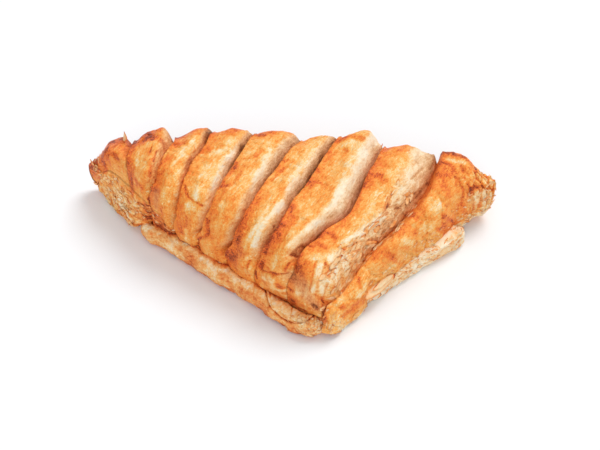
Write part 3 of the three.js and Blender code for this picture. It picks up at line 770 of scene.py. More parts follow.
# %% Strokes
# (column, up from the front) of each point, then half width, browning, height, dough
STROKES = (
    # The left slats: red streaks, slits and the hollow beside the second cut, darkened with painted shade.
    (((1.78, 23), (1.78, 18)), 0.4, 0.5, -0.5, 0),
    (((1.78, 16), (1.81, 12)), 0.5, 0.36, -0.4, 0),
    (((1.87, 13), (2.04, 10)), 0.4, 0.4, -0.4, 0),
    (((2.06, 8), (1.96, 2)), 0.6, 0.7, -1, 0),
    (((2.26, 9), (2.34, 2)), 1.6, 0.26, -0.2, 0.5),
    (((1.28, 11), (1.3, 7), (1.72, 7)), 1, 0.26, 0, 0),
    (((0.74, 10), (0.84, 10)), 1.1, 0.34, 0, 0),
    (((1.36, 31), (1.52, 27)), 1.3, 0.34, 0, 0),
    (((2.74, 21), (2.78, 16)), 0.9, -0.16, 0.1, 0),
    (((2.8, 40), (2.88, 20)), 0.7, 0.22, -0.2, 0.3),
    # Slat 3: the edge of a burst blister.
    (((3.14, 24), (3.25, 21), (3.42, 20.5), (3.72, 21)), 0.4, 0.34, -0.4, 0),
    (((3.39, 14), (3.46, 9)), 0.8, 0.18, 0, 0),
    (((3.4, 7), (3.46, 4)), 1.2, 0.28, 0, 0),
    (((3.75, 50), (3.72, 39), (3.78, 30)), 1, -0.2, 0.1, 0),
    # Slat 4: short marks on its crest, a crack at its foot, a pale streak on its wall.
    (((4.12, 32), (4.26, 34)), 0.8, 0.2, 0, 0),
    (((4.25, 30), (4.28, 27)), 1.2, 0.2, 0, 0),
    (((4.12, 46), (4.14, 43)), 0.8, 0.26, 0, 0),
    (((4.38, 54), (4.46, 58)), 1.1, 0.12, 0, 0),
    (((4.12, 18), (4.23, 14), (4.2, 9), (4, 1)), 0.6, 0.36, -0.5, 0),
    (((4.2, 67), (4.26, 67)), 0.9, 0.34, 0, 0),
    (((4.62, 60), (4.7, 49), (4.72, 42)), 1.2, -0.24, 0.1, 0),
    # Seams beside two cuts, near the fold, darkened with browning and painted shade from the cut.
    (((3.9, 58), (3.94, 46), (3.97, 36)), 1.3, 0.34, -0.2, 0.2),
    (((5.9, 74), (5.93, 62), (5.96, 52)), 1.3, 0.34, -0.2, 0.2),
    # Heads that browned where they stand nearest the oven's roof.
    (((6.1, 84), (6.3, 88), (6.55, 88)), 1.5, 0.34, -0.1, 0),
    (((0.3, 14), (0.6, 17)), 1.4, 0.3, -0.1, 0),
    (((1.3, 25), (1.56, 28), (1.8, 29)), 1.6, 0.32, -0.1, 0),
    (((2.15, 33), (2.42, 36)), 1.6, 0.3, -0.1, 0),
    (((3.12, 45), (3.42, 50)), 1.5, 0.22, -0.1, 0),
    # Slat 5: a dark left foot, two cracks across the foot and a painted highlight along its shoulder.
    (((5.23, 17), (5.36, 13), (5.39, 7), (5.42, 3)), 2, 0.22, 0, 0.2),
    (((5.75, 12), (5.86, 4)), 0.35, 0.36, -0.5, 0),
    (((6.02, 8), (6.06, 3)), 0.4, 0.35, -0.4, 0),
    (((5.8, 7), (5.82, 5)), 1, -0.22, 0.3, 0.3),
    (((5.64, 14), (5.64, 12)), 0.9, -0.22, 0.2, 0),
    # A painted highlight along the shoulder:
    (((5.67, 19), (5.59, 26), (5.67, 33), (5.72, 40)), 1, -0.4, 0.2, 0.1),
    (((5.59, 60), (5.7, 47)), 1, -0.16, 0, 0),
    (((5.2, 58), (5.17, 54), (5.17, 47)), 0.55, 0.22, 0, 0),
    (((5.81, 29), (6.11, 21), (6.13, 18)), 0.5, 0.26, -0.3, 0),
    # Slat 6: its foot is a rounded lobe with a crumpled shelf under it.
    (((6.13, 14), (6.15, 11)), 0.65, 0.6, -0.8, 0),
    (((6.16, 10), (6.3, 11), (6.53, 13), (6.7, 14), (6.88, 15)), 0.45, 0.28, -0.9, 0.1),
    (((6.32, 8), (6.62, 10)), 1.4, -0.14, 0.5, 0.3),
    (((6.82, 9), (6.88, 7)), 1.3, 0.46, -0.2, 0),
    (((6.34, 13), (6.62, 13)), 1, 0.2, -0.2, 0),
    (((6.18, 58), (6.24, 58)), 0.8, 0.24, -0.1, 0),
    (((6, 69), (6.1, 64)), 0.6, 0.24, -0.2, 0),
    (((6.28, 81), (6.39, 80)), 0.7, 0.22, -0.1, 0),
    (((6.39, 35), (6.42, 27)), 1.2, -0.2, 0.1, 0),
    (((6.58, 72), (6.6, 60), (6.63, 50)), 1.4, -0.2, 0.1, 0),
    (((6.72, 41), (6.65, 32), (6.6, 24)), 0.9, -0.26, 0.1, 0.2),
    # Slat 7: a spur of its cut, two dark pits, and a grey-brown hollow at its foot.
    (((6.82, 22), (6.79, 25), (6.88, 28), (7.12, 28)), 0.45, 0.34, -0.3, 0),
    (((6.8, 22), (6.86, 22)), 0.6, 0.7, -0.8, 0),
    (((6.82, 16), (6.85, 19)), 0.45, 0.5, -0.6, 0),
    (((6.98, 14), (7.29, 12), (7.58, 9), (7.84, 5)), 2.6, 0.04, -0.5, 0.8),
    (((7.8, 5), (7.86, 4)), 1.2, 0.5, -0.4, 0.3),
    (((7.11, 18), (7.5, 12)), 0.9, 0.12, -0.4, 0.3),
    (((6.96, 74), (7.09, 70), (7.06, 63), (7.12, 55)), 0.5, 0.24, -0.2, 0),
    (((7.22, 73), (7.31, 71)), 1.3, 0.24, 0, 0),
    (((7.12, 38), (7.24, 37)), 1.1, 0.26, 0, 0),
    (((7.11, 31), (7.2, 31)), 1.2, 0.2, 0, 0),
    (((7.51, 66), (7.55, 60), (7.6, 55)), 0.5, 0.28, -0.3, 0),
    (((7.54, 61), (7.56, 60)), 0.7, 0.6, -0.2, 0),
    # Torn leaves on slat 7, near the last cut.
    (((7.25, 24), (7.36, 26)), 2, -0.34, 0.3, 0.1),
    (((7.66, 12), (7.42, 22)), 1.3, -0.36, 0.6, 0.4),
    (((7.64, 11), (7.46, 16), (7.3, 23)), 0.35, 0.36, -0.4, 0),
    (((7.43, 24), (7.6, 15), (7.72, 12)), 0.35, 0.42, -0.4, 0),
    (((7.52, 23), (7.62, 19)), 0.7, 0.46, -0.1, 0),
    (((7.67, 17), (7.78, 14), (7.9, 10)), 0.35, 0.38, -0.3, 0),
    (((7.62, 19), (7.8, 12)), 0.9, -0.26, 0.4, 0.5),
    (((7.45, 29), (7.72, 20)), 2, -0.2, 0.3, 0.5),
    (((7.55, 31), (7.74, 27)), 1.6, -0.2, 0.3, 0.5),
    (((7.48, 32), (7.58, 37)), 0.35, 0.42, -0.3, 0),
    (((7.6, 32), (7.77, 38)), 0.35, 0.38, -0.3, 0),
    (((7.58, 38), (7.71, 42)), 0.35, 0.38, -0.3, 0),
    (((7.41, 35), (7.51, 43), (7.55, 51), (7.64, 55)), 1, -0.3, 0.3, 0.2),
    (((7.77, 88), (7.71, 82), (7.66, 78)), 0.45, 0.42, -0.5, 0),
    (((7.86, 75), (7.77, 70), (7.78, 63)), 0.5, 0.38, -0.4, 0),
    (((7.97, 82), (7.91, 79), (7.91, 72)), 0.9, 0.3, 0, 0),
    # The panel right of the last cut: a rough rim, wrinkles that turn round its end, scorched spots.
    (((8.04, 100), (8.16, 102), (8.35, 103)), 1.2, 0.34, 0.4, 0.2),
    (((8.16, 98), (8.38, 100)), 0.9, -0.24, -0.3, 0.5),
    (((8.35, 98), (8.54, 94), (8.76, 92), (8.92, 87)), 0.45, 0.28, -0.5, 0),
    (((8.26, 95), (8.46, 92), (8.71, 89), (8.87, 84)), 0.45, 0.26, -0.5, 0),
    (((8.2, 95), (8.3, 93), (8.49, 89)), 0.4, 0.24, -0.4, 0),
    (((8.06, 95), (8.24, 96)), 0.45, 0.26, -0.4, 0),
    (((8.71, 75), (8.92, 75)), 1.1, 0.36, 0.1, 0),
    (((8.9, 72), (8.95, 68)), 1, 0.28, 0, 0),
    (((8.78, 93), (8.82, 96), (8.86, 99)), 0.7, 0.38, -0.3, 0),
    (((8.1, 63), (8.22, 63)), 1.7, -0.22, 0.2, 0),
    (((8.3, 30), (8.6, 25)), 0.35, 0.3, -0.2, 0),
    (((8.86, 9), (8.9, 18), (8.88, 30)), 0.4, 0.28, -0.4, 0),
    (((8.55, 46), (8.8, 44)), 1, 0.2, 0, 0),
    (((8.35, 52), (8.42, 58)), 1.2, -0.2, 0.1, 0),
    (((8.62, 55), (8.72, 60)), 1.1, -0.18, 0.1, 0),
    (((8.25, 14), (8.45, 18)), 1.3, -0.18, 0.2, 0),
    (((8.15, 34), (8.3, 38)), 1.3, -0.18, 0.1, 0),
    (((8.6, 14), (8.72, 20)), 0.9, 0.2, 0, 0),
    (((8.93, 96), (8.95, 88)), 1.6, -0.22, 0.2, 0.5),
)


def oven_strokes(q, at):
    """Browning, height and dough that all the strokes add together."""
    browned, raised, opened = 0 * q, 0 * q, 0 * q
    for line, half_wide, brown, height, dough in STROKES:
        nearest = np.full(q.shape, 99.0)
        for (first_q, first_up), (next_q, next_up) in zip(line, line[1:]):
            away = np.stack([(q - first_q) * at["width"], at["walked"] - first_up], axis=-1)
            way = np.stack([(next_q - first_q) * at["width"], next_up - first_up + 0 * q], axis=-1)
            share = clamp01((away * way).sum(axis=-1) / (way * way).sum(axis=-1))
            nearest = np.minimum(nearest, np.linalg.norm(away - share[..., None] * way, axis=-1))
        ragged = nearest + 0.35 * crumple(at["x"] / 1.7, at["y"] / 1.7, 2) * min(half_wide, 1.0)
        stroke = np.exp(-((np.maximum(ragged, 0) / half_wide) ** 2) ** 1.3)
        browned += brown * stroke
        raised += height * stroke
        opened += dough * stroke
    return browned, raised, clamp01(opened)


stroke_brown, stroke_height, stroke_dough = oven_strokes(sheet_q, place)
print("strokes:", len(STROKES))

# %% [markdown]
# ## Shape of the top sheet
# The relief goes along the normals. Then the upper lip of each cut is curled a little
# over the gap, the rim is pinched in where a cut runs out through it, which leaves each
# slat with a rounded end, and the whole is warped sideways so that no line is straight.

# %% Sizes of the pinches, lifts and leans
CURL = 1.2
FOOT_PINCH = np.array([0, 0.6, 0.8, 2.2, 2.0, 1.8, 1.0, 0.6, 0.3, 0])
HEAD_PINCH = np.array([0, 3.4, 3.0, 2.4, 2.6, 3.6, 2.8, 3.8, 4.2, 0])
PINCH_WIDTH = 0.13
HEAD_PINCH_BEFORE, HEAD_PINCH_AFTER = 0.13, 0.34
PINCH_REACH = 6
HEAD_REACH = 9
HEAD_SINK = 0.9
LIFT_FROM, LIFT_REACH = 14, 20
LIFT_FROM_TIP, LIFT_REACH_TIP = 6, 12
PANEL_HEAD_COLUMN = 8.25
# How much higher or lower each slat's head stands near the fold: columns, then millimetres.
HEAD_LIFT = np.array([
    (0, -2.2), (0.2, -2.8), (0.3, -2.4), (0.5, 0.5), (0.8, 0.3),
    (1.1, -1.0), (1.2, 1.1), (1.3, 1.5), (1.6, 0.3), (1.9, -1.2),
    (2.1, -4.4), (2.3, -3.7), (2.5, -1.5), (2.7, -0.5), (2.9, 3.0),
    (3.1, -1.4), (3.7, -1.6), (3.8, -0.9), (3.9, 1.6),
    (4.1, -3.4), (4.3, -1.8), (4.5, -1.0), (4.8, -1.3), (4.9, 1.4),
    (5.1, -3.7), (5.2, -1.0), (5.5, -2.8), (5.7, -1.3), (5.9, 3.8),
    (6.1, 1.4), (6.2, 3.8), (6.3, 4.2), (6.6, 2.7), (6.8, -1.1), (6.9, 1.7),
    (7.1, -2.6), (7.4, -0.9), (7.65, -2.4), (7.8, 0.2), (7.9, 4.0),
    (8.1, 1.0), (8.2, 0.8), (8.3, -1.4), (8.5, -6.8), (8.7, -3.8), (8.9, 0.8),
])
TIP_LEAN = 3.6
TIP_DROOP = 1.2
TIP_REACH = 17
WARP = 0.8
print("heads lifted, mm: from", HEAD_LIFT[:, 1].min(), "to", HEAD_LIFT[:, 1].max())

# %% Ways to move the sheet
def grid_normals(points):
    along_q = np.gradient(points, axis=0)
    along_t = np.gradient(points, axis=1)
    normals = unit_rows(np.cross(along_q, along_t))
    normals[0] = normals[1].mean(axis=0)
    return normals, unit_rows(along_q), unit_rows(along_t)


def pinch(q, amounts, before=PINCH_WIDTH, after=PINCH_WIDTH):
    total = 0 * q
    for cut, amount in enumerate(amounts):
        away = (q - cut) / np.where(q < cut, before, after)
        total += amount * np.exp(-(away**2))
    return total


def towards_tips(x):
    """1 at either tip and 0 further in."""
    left = smooth(1 - (x - LEFT_TIP[0]) / TIP_REACH)
    return np.maximum(left, smooth(1 - (RIGHT_TIP[0] - x) / TIP_REACH))


def lean_tips(points):
    """The two tips lean to the front, which blunts the ends of the fold."""
    near = towards_tips(points[..., 0])
    moved = points.copy()
    moved[..., 1] -= TIP_LEAN * near
    if points.shape[-1] == 3:
        moved[..., 2] -= TIP_DROOP * near * smooth(points[..., 2] / 12)
    return moved


def warped(points):
    x, y = points[..., 0], points[..., 1]
    moved = points.copy()
    moved[..., 0] += WARP * bumps(x / 12, y / 12 + 50) + 0.25 * bumps(x / 4, y / 4 + 30)
    moved[..., 1] += WARP * bumps(x / 12 + 80, y / 12) + 0.25 * bumps(x / 4 + 10, y / 4)
    return moved


def head_lift(q, to_fold):
    on_slats = q < PANEL_HEAD_COLUMN
    first = np.where(on_slats, LIFT_FROM, LIFT_FROM_TIP)
    reach = np.where(on_slats, LIFT_REACH, LIFT_REACH_TIP)
    lift = np.interp(q, HEAD_LIFT[:, 0], HEAD_LIFT[:, 1])
    return lift * (1 - smooth((to_fold - first) / reach))


print("points that lean:", int((towards_tips(smooth_points[..., 0]) > 0).sum()))

# %% Shape of the top sheet
def shape_top_sheet():
    normals, rightward, onward = grid_normals(smooth_points)
    relief = (slat_relief(place) + crumpled_crust(place) + creases(place) + terraces(place)
              + wall_layers(place) + torn_layers(place) + panel_wrinkles(place) + mark_height
              + stroke_height * place["skin"])
    curl = smooth(place["share"] / 0.05) * (1 - smooth((place["share"] - 0.06) / 0.25)) * (place["k"] > 0)
    curl *= CURL * left_depth / 5
    flat = onward * (1, 1, 0)
    foot = pinch(sheet_q, FOOT_PINCH) * np.exp(-place["walked"] / PINCH_REACH)
    head = pinch(sheet_q, HEAD_PINCH, HEAD_PINCH_BEFORE, HEAD_PINCH_AFTER)
    head = head * np.exp(-place["to_fold"] / HEAD_REACH)
    inward = unit_rows(flat) * (foot - head)[..., None]
    shaped = smooth_points + relief[..., None] * normals - curl[..., None] * rightward + inward
    shaped[..., 2] += head_lift(sheet_q, place["to_fold"]) - HEAD_SINK * head
    shaped = lean_tips(warped(shaped))
    shaped[0] = shaped[0].mean(axis=0)
    return shaped


sheet_points = shape_top_sheet()
print("highest point, mm:", round(float(sheet_points[..., 2].max()), 1))

# %% [markdown]
# ## The rim of the top sheet
# Below its rim the top sheet has a cut face on the left end, the leg and the right, where
# many thin layers show, and it turns under along the fold. Both are profiles that go
# down from the rim, and `rim_fold` says how much of each a place has.

# %% The rim as one loop
SPINE_LEFT = point2(-52, 26)
SPINE_RIGHT = point2(52, 20)
CUT_REACH_LEFT, FOLD_REACH_LEFT = 22, 14
CUT_REACH_RIGHT, FOLD_REACH_RIGHT = 7, 12


def to_spine(points):
    line = SPINE_RIGHT - SPINE_LEFT
    share = clamp01((points - SPINE_LEFT) @ line / (line @ line))
    way = SPINE_LEFT + share[:, None] * line - points
    span = np.linalg.norm(way, axis=1)
    return way / span[:, None], span


last = len(columns) - 1
rim_index = ([(i, 0) for i in range(last + 1)] + [(last, j) for j in range(1, ROWS + 1)]
             + [(i, ROWS) for i in range(last - 1, 0, -1)])
rim_i, rim_j = np.array(rim_index).T
rim_points = sheet_points[rim_i, rim_j]
front_count, right_count = last + 1, ROWS
rim_walk = walked_along(rim_points)
rim_total = rim_walk[-1] + np.linalg.norm(rim_points[0] - rim_points[-1])
nose_walk = rim_walk[front_count - 1]
right_tip_walk = rim_walk[front_count + right_count - 1]

on_fold = rim_walk > right_tip_walk
past_left = np.where(on_fold, rim_total - rim_walk, -rim_walk)
past_right = rim_walk - right_tip_walk
fold_from_left = smooth((past_left + CUT_REACH_LEFT) / (CUT_REACH_LEFT + FOLD_REACH_LEFT))
fold_from_right = smooth((past_right + CUT_REACH_RIGHT) / (CUT_REACH_RIGHT + FOLD_REACH_RIGHT))
rim_fold = np.where(on_fold, np.minimum(fold_from_left, fold_from_right),
                    np.maximum(fold_from_left, fold_from_right))
on_right_leg = smooth((rim_walk - nose_walk) / 12 + 0.5)
on_left_end = smooth(rim_walk / 12) * smooth((END_LENGTH + 3 - rim_walk) / 12)
print("rim:", len(rim_points), "points,", round(float(rim_total)), "mm round")

# %% [markdown]
# ## Down the edge in rings
# Every point of the rim gets the same number of points below it, so the rings close by
# themselves. On the cut face each ring is pushed in or out by a noise that is long round
# the edge and short in height, which reads as a stack of leaves.

# %% Profiles of the edge
CUT_LEVELS, UNDER_LEVELS, BASE_LEVELS = 17, 4, 3
EDGE_LEVELS = CUT_LEVELS + UNDER_LEVELS
UNDER_END, UNDER_LEG, UNDER_RIGHT = 2.6, 7.4, 5.2
UNDER_TIP_LIFT = 2.5
FACE_LEAN_LEG, FACE_LEAN_RIGHT = 2.0, 0.4
# How far the base of the left face stands out, at these distances round the rim from the tip.
FLARE_STATIONS = (0, 5, 11, 18, 30, 36, 42)
END_FLARE = (6.4, 7.2, 5.8, 4.5, 4.3, 5.6, 7.0)
UNDER_REACH = 7
FOLD_TUCK = 6.8
BASE_STEP = 2.2


def face_layers(walk, height):
    leaves = bumps(walk / 9, height / 0.95)
    torn_leaves = bumps(walk / 2.2, height / 0.8 + 40)
    return 0.42 * leaves + 0.26 * torn_leaves


def edge_rings():
    """Rings of points from just under the rim to the flat base, outermost first."""
    edge, rim_z = rim_points[:, :2], rim_points[:, 2]
    way, _ = to_spine(edge)
    near_left = smooth(1 - distance(edge, LEFT_TIP) / 26)
    near_right = smooth(1 - distance(edge, RIGHT_TIP) / 35)
    under = lerp(lerp(UNDER_LEG, UNDER_END, on_left_end), UNDER_RIGHT, on_right_leg)
    under = np.minimum(under + UNDER_TIP_LIFT * np.maximum(near_left, near_right), 0.5 * rim_z)
    flare = np.interp(rim_walk, FLARE_STATIONS, END_FLARE)
    lean = lerp(lerp(FACE_LEAN_LEG, -flare, on_left_end), FACE_LEAN_RIGHT, on_right_leg)
    cut_edge = 1 - rim_fold

    def from_edge(inset, height):
        return np.column_stack([edge + np.reshape(inset, (-1, 1)) * way, height + 0 * rim_z])

    layered = []
    for i in range(1, CUT_LEVELS + 1):
        share = i / CUT_LEVELS
        height = lerp(rim_z, under, share)
        push = face_layers(rim_walk, height) * smooth(share * 6) * cut_edge * (1 + 0.6 * on_left_end)
        layered.append(from_edge(lean * share - push, height))
    for i in range(1, UNDER_LEVELS + 1):
        share = i / UNDER_LEVELS
        layered.append(from_edge(lean + UNDER_REACH * share, under - 0.8 * math.sqrt(share)))

    made = []
    for i, layer in enumerate(layered, start=1):
        turn = math.radians(90 * i / EDGE_LEVELS)
        height = rim_z * (1 - math.sin(turn))
        fine = 0.5 * crumple(rim_walk / 6, height / 5) * math.sin(2 * turn)
        folded = from_edge(FOLD_TUCK * (1 - math.cos(turn)) - fine, height)
        made.append(lerp(layer, folded, rim_fold[:, None]))
    for i in range(1, BASE_LEVELS + 1):
        inwards, span = to_spine(made[-1][:, :2])
        ring = made[-1].copy()
        ring[:, :2] += np.minimum(BASE_STEP, 0.3 * span)[:, None] * inwards
        waves = 0.5 + 0.5 * bumps(ring[:, 0] / 5, ring[:, 1] / 5)
        ring[:, 2] = np.maximum(ring[:, 2], 0.25 * smooth(i / BASE_LEVELS) * waves)
        made.append(ring)
    return np.array(made)


rings = edge_rings()
print("edge rings:", rings.shape[:2])

# %% [markdown]
# ## The bottom sheet
# The bottom half of the dough shows as a rolled, pleated lip along the leg, a rough blunt
# nose, and a stack of thin layers on the right. It could stay joined to the top, but a
# path of its own lets its points follow the pleats. Its section is a squarish ellipse:
# round where the lip is rolled and nearly square where the layers are stacked.

# %% Path of the bottom sheet
# Each corner with how far before and after it the turn is eased.
SHEET_START = point2(-63, 20)
SHEET_SHOULDER, SHOULDER_EASE = point2(-59.5, 2.2), 5
SHEET_NOSE, NOSE_EASE = point2(16.4, -51.4), 14
SHEET_RIGHT, RIGHT_EASE = point2(74.5, 12.0), 3.5
SHEET_END = point2(68, 21)
LIP_STEP, HIDDEN_STEP = 0.42, 3.0


def eased_path(start, corners, end):
    """Points along straight lines whose corners are eased by a short curve."""
    places = [start] + [corner for corner, _ in corners] + [end]
    points = [start]
    for before, (corner, ease), after in zip(places, corners, places[2:]):
        first = corner + ease * unit(before - corner)
        final = corner + ease * unit(after - corner)
        for u in np.linspace(0, 1, 13):
            points.append(lerp(lerp(first, corner, u), lerp(corner, final, u), u))
    return np.array(points + [end])


def resampled(path, step):
    walked = walked_along(path)
    stops = np.linspace(0, walked[-1], round(walked[-1] / step) + 1)
    return np.stack([np.interp(stops, walked, path[:, axis]) for axis in (0, 1)], axis=-1), stops


shown_path = eased_path(SHEET_START, [(SHEET_SHOULDER, SHOULDER_EASE), (SHEET_NOSE, NOSE_EASE),
                                      (SHEET_RIGHT, RIGHT_EASE)], SHEET_END)
hidden_path = eased_path(SHEET_END, [(point2(0, 26), 30)], SHEET_START)
shown, shown_walk = resampled(lean_tips(shown_path), LIP_STEP)
hidden, hidden_walk = resampled(lean_tips(hidden_path), HIDDEN_STEP)
lip_path = np.concatenate([shown, hidden[1:-1]])
lip_walk = np.concatenate([shown_walk, shown_walk[-1] + hidden_walk[1:-1]])
shoulder_at = lip_walk[np.argmin(distance(shown, SHEET_SHOULDER))]
nose_at = lip_walk[np.argmin(distance(shown, SHEET_NOSE))]
right_end_at = shown_walk[-1]
print("lip:", round(float(shoulder_at)), "mm to the shoulder,", round(float(nose_at)), "to the nose,",
      round(float(right_end_at)), "in all")

# %% [markdown]
# ## Section of the bottom sheet
# Half the width, half the height and how square the section is change along the path.
# The lip also wanders in and out a little, because nobody cuts a sheet dead straight.

# %% Section of the bottom sheet
# Millimetres after the shoulder, or after the nose, then half width, half height,
# squareness and outward shift.
LEG_SECTION = np.array([
    (-30, 2.6, 2.4, 2.0, -1.0),
    (-6, 3.4, 3.2, 2.0, -1.0),
    (3, 4.3, 4.1, 2.0, -1.1),
    (14, 4.4, 4.3, 2.0, -2.0),
    (26, 4.6, 4.2, 2.0, -1.6),
    (40, 4.3, 4.1, 2.0, -0.8),
    (52, 4.2, 4.0, 2.0, -1.1),
    (66, 4.0, 3.8, 2.1, -0.3),
    (78, 4.0, 3.8, 2.1, 0.9),
])
RIGHT_SECTION = np.array([
    (-1, 4.2, 3.7, 2.4, -1.0),
    (5, 3.8, 3.4, 2.6, -3.5),
    (12, 3.6, 3.2, 3.0, -7.0),
    (20, 3.6, 3.2, 3.2, -5.0),
    (27, 3.6, 3.3, 3.2, -3.2),
    (34, 3.6, 3.3, 3.2, -2.9),
    (40, 3.6, 3.2, 3.2, -2.9),
    (54, 3.8, 3.4, 3.2, -2.2),
    (66, 4.0, 4.0, 3.2, -0.7),
    (76, 4.2, 4.4, 3.0, 0.2),
    (84, 3.6, 4.0, 2.6, -0.6),
    (96, 3.0, 3.0, 2.4, 0.0),
])


def lip_section(column):
    stations = np.concatenate([LEG_SECTION[:, 0] + shoulder_at, RIGHT_SECTION[:, 0] + nose_at])
    values = np.concatenate([LEG_SECTION[:, column], RIGHT_SECTION[:, column]])
    return np.interp(lip_walk, stations, values)


def path_normals(path):
    return outward(unit_rows(np.roll(path, -1, axis=0) - np.roll(path, 1, axis=0)))


on_stack = smooth((lip_walk - nose_at + 4) / 14)
lip_shown = smooth((lip_walk - 6) / 8) * smooth((right_end_at - lip_walk) / 5)
half_width, half_height, squareness, shift = (lip_section(column) for column in (1, 2, 3, 4))
lip_out = path_normals(lip_path)
wander = 0.45 * bumps(lip_walk / 8, 0.5 + 0 * lip_walk) + 0.22 * bumps(lip_walk / 2.7, 7.5 + 0 * lip_walk)
outline = lip_path + ((shift + wander * lip_shown)[:, None]) * lip_out
print("lip height, mm: up to", round(float(2 * half_height.max()), 1))

# %% Pleats, tongue and layers of the lip
PLEAT_PITCH = 9.5
PLEAT_DEPTH = 0.5
TONGUE_START, TONGUE_END = 60, 88
GROOVE_DEPTH, TONGUE_RISE = 1.1, 0.35


def pleats(walk, turn):
    """Slanting soft creases, closest together near the nose."""
    phase = walk / PLEAT_PITCH + 0.6 * bumps(walk / 9, 3.5 + 0 * walk) + 0.35 * turn
    away = (phase - np.floor(phase) - 0.5) * PLEAT_PITCH
    strength = 0.35 + 0.65 * lattice_value(np.floor(phase), 3)
    return strength * (np.exp(-((away / 0.55) ** 2)) + 0.5 * np.exp(-(((away - 1.8) / 1.6) ** 2)))


def tongue_edge(walk, turn):
    """The groove round a leaf-shaped flap that lies on the lip just left of the nose."""
    share = (walk - shoulder_at - TONGUE_START) / (TONGUE_END - TONGUE_START)
    lower = lerp(2.35, 0.55, np.sin(np.pi * clamp01(share)) ** 0.7)
    beside = (share > 0) * (share < 1)
    return np.exp(-(((turn - lower) / 0.10) ** 2)) * beside, (turn > lower) * beside


def stacked(walk, height):
    leaves = bumps(walk / 11, height / 1.0 + 4)
    ragged = bumps(walk / 2.4, height / 0.75 + 13)
    return 0.5 * leaves + 0.32 * ragged


print("deepest pleat, mm:", round(float(PLEAT_DEPTH * pleats(lip_walk, 0.0).max()), 2))

# %% Rings of the lip
SECTION_TOP_ANGLE = 165
SECTION_LEVELS = 72


def lip_rings():
    """Rings from the hidden inner top over the lip to the base, and how deep each point is in a crease."""
    made, creased, raised = [], [], []
    for turn in np.radians(np.linspace(SECTION_TOP_ANGLE, -90, SECTION_LEVELS)):
        power = 2 / squareness
        inset = half_width * (1 - np.sign(math.cos(turn)) * abs(math.cos(turn)) ** power)
        height = half_height * (1 + np.sign(math.sin(turn)) * abs(math.sin(turn)) ** power)
        angle = turn + 0 * lip_walk
        soft = 1 - on_stack
        outer = smooth((turn + 1.5) * 1.2) * lip_shown
        crease = PLEAT_DEPTH * pleats(lip_walk, angle) * soft * smooth((lip_walk - shoulder_at) / 5)
        groove, on_tongue = tongue_edge(lip_walk, angle)
        lumps = (0.55 * bumps(lip_walk / 6.5, angle * 0.9 + 2) + 0.35 * crumple(lip_walk / 3.2, angle * 1.8)
                 + 0.2 * crumple(lip_walk / 1.1, angle * 3.6, 2))
        relief = (lumps - crease) * soft + stacked(lip_walk, height) * on_stack
        relief = (relief - GROOVE_DEPTH * groove + TONGUE_RISE * on_tongue) * outer
        inset = inset - relief * math.cos(turn)
        height = height + relief * math.sin(turn)
        made.append(np.column_stack([outline - inset[:, None] * lip_out, np.maximum(height, 0)]))
        creased.append(np.maximum(crease * soft, GROOVE_DEPTH * groove) * outer)
        raised.append(on_tongue * outer)
    return np.array(made), np.array(creased), np.array(raised)


lip_points, lip_creased, lip_tongue = lip_rings()
print("lip rings:", lip_points.shape[:2])

# %% [markdown]
# ## How brown each place is
# A baked crust is one material at many stages: pale dough where it opened late, gold on
# the slopes, brown on the humps, nearly black in a few blisters. So every point carries
# a number for how brown it is, one for how much raw pale dough shows, and one for how
# torn and speckled it is. They are worked out from the form itself: edges and humps
# brown first, and walls that opened in the oven stay pale. The brown number also holds
# painted shade: the walls darken towards the cut beside them, and the cuts' bottoms darken.

# %% Tables of browning
# One row a slat: at its foot, its middle and its head.
TOP_BROWNING = np.array([
    (0.50, 0.46, 0.50),
    (0.50, 0.42, 0.50),
    (0.46, 0.34, 0.46),
    (0.44, 0.34, 0.46),
    (0.48, 0.38, 0.42),
    (0.54, 0.35, 0.38),
    (0.52, 0.46, 0.22),
    (0.50, 0.41, 0.44),
    (0.30, 0.42, 0.42),
])
# How much browner each slat is where it turns over towards the fold.
HEAD_BROWNING = np.array([0.32, 0.38, 0.28, 0.20, 0.18, 0.14, 0.30, 0.12, 0.06])
# How much raw dough the wall of each slat shows at its foot, its middle and its head.
WALL_PALENESS = np.array([
    (0.1, 0.1, 0.2),
    (0.2, 0.5, 0.9),
    (0.1, 0.5, 0.95),
    (0.3, 0.9, 0.9),
    (0.4, 0.95, 0.9),
    (0.5, 1.0, 0.9),
    (0.6, 1.0, 1.0),
    (0.0, 0.55, 1.0),
    (0.0, 0.0, 0.0),
])
# How much browner the wall of each slat is at its foot, its middle and its head: real browning and painted
# shade from the cut beside it.
WALL_BROWNING_AND_SHADE = np.array([
    (0.3, 0.3, 0.3),
    (0.3, 0.3, 0.3),
    (0.3, 0.44, 0.74),
    (0.2, 0.14, 0.42),
    (0.25, 0.24, 0.42),
    (0.2, 0.20, 0.32),
    (0.2, -0.10, -0.12),
    (0.2, 0.02, -0.04),
    (0.0, 0.0, 0.0),
])
# How far up from the front the pale wall of each slat begins.
WALL_START = np.array([4, 6, 6, 6, 6, 12, 18, 12, 0])
# Each wall darkens from its pale shoulder towards the cut below it: this is painted shade.
WALL_SHOULDER_BAKE, WALL_SHADED_GAP_BAKE = 0.02, 0.74
# The bottom of each cut is darkened: real browning and painted shade.
GAP_BAKE_AND_SHADE, GAP_BAKE_AND_SHADE_STRENGTH = 0.86, 0.85
EDGE_BAKE = 0.24
LUMP_BAKE, GRANULAR_PALENESS = 0.56, 0.12
SHELF_BAKE = 0.40
LEAF_BAKE, LEAF_OUTLINE_BAKE = 0.16, 0.28
TORN_PALE, TORN_GOLD = 0.18, 0.34
print("slats with a pale wall:", int((WALL_PALENESS.max(axis=1) > 0.5).sum()))

# %% Browning of the top sheet
def along_slat(table, k, t):
    foot, middle, head = (table[k, column] for column in range(3))
    return np.where(t < 0.5, lerp(foot, middle, smooth(2 * t)), lerp(middle, head, smooth(2 * t - 1)))


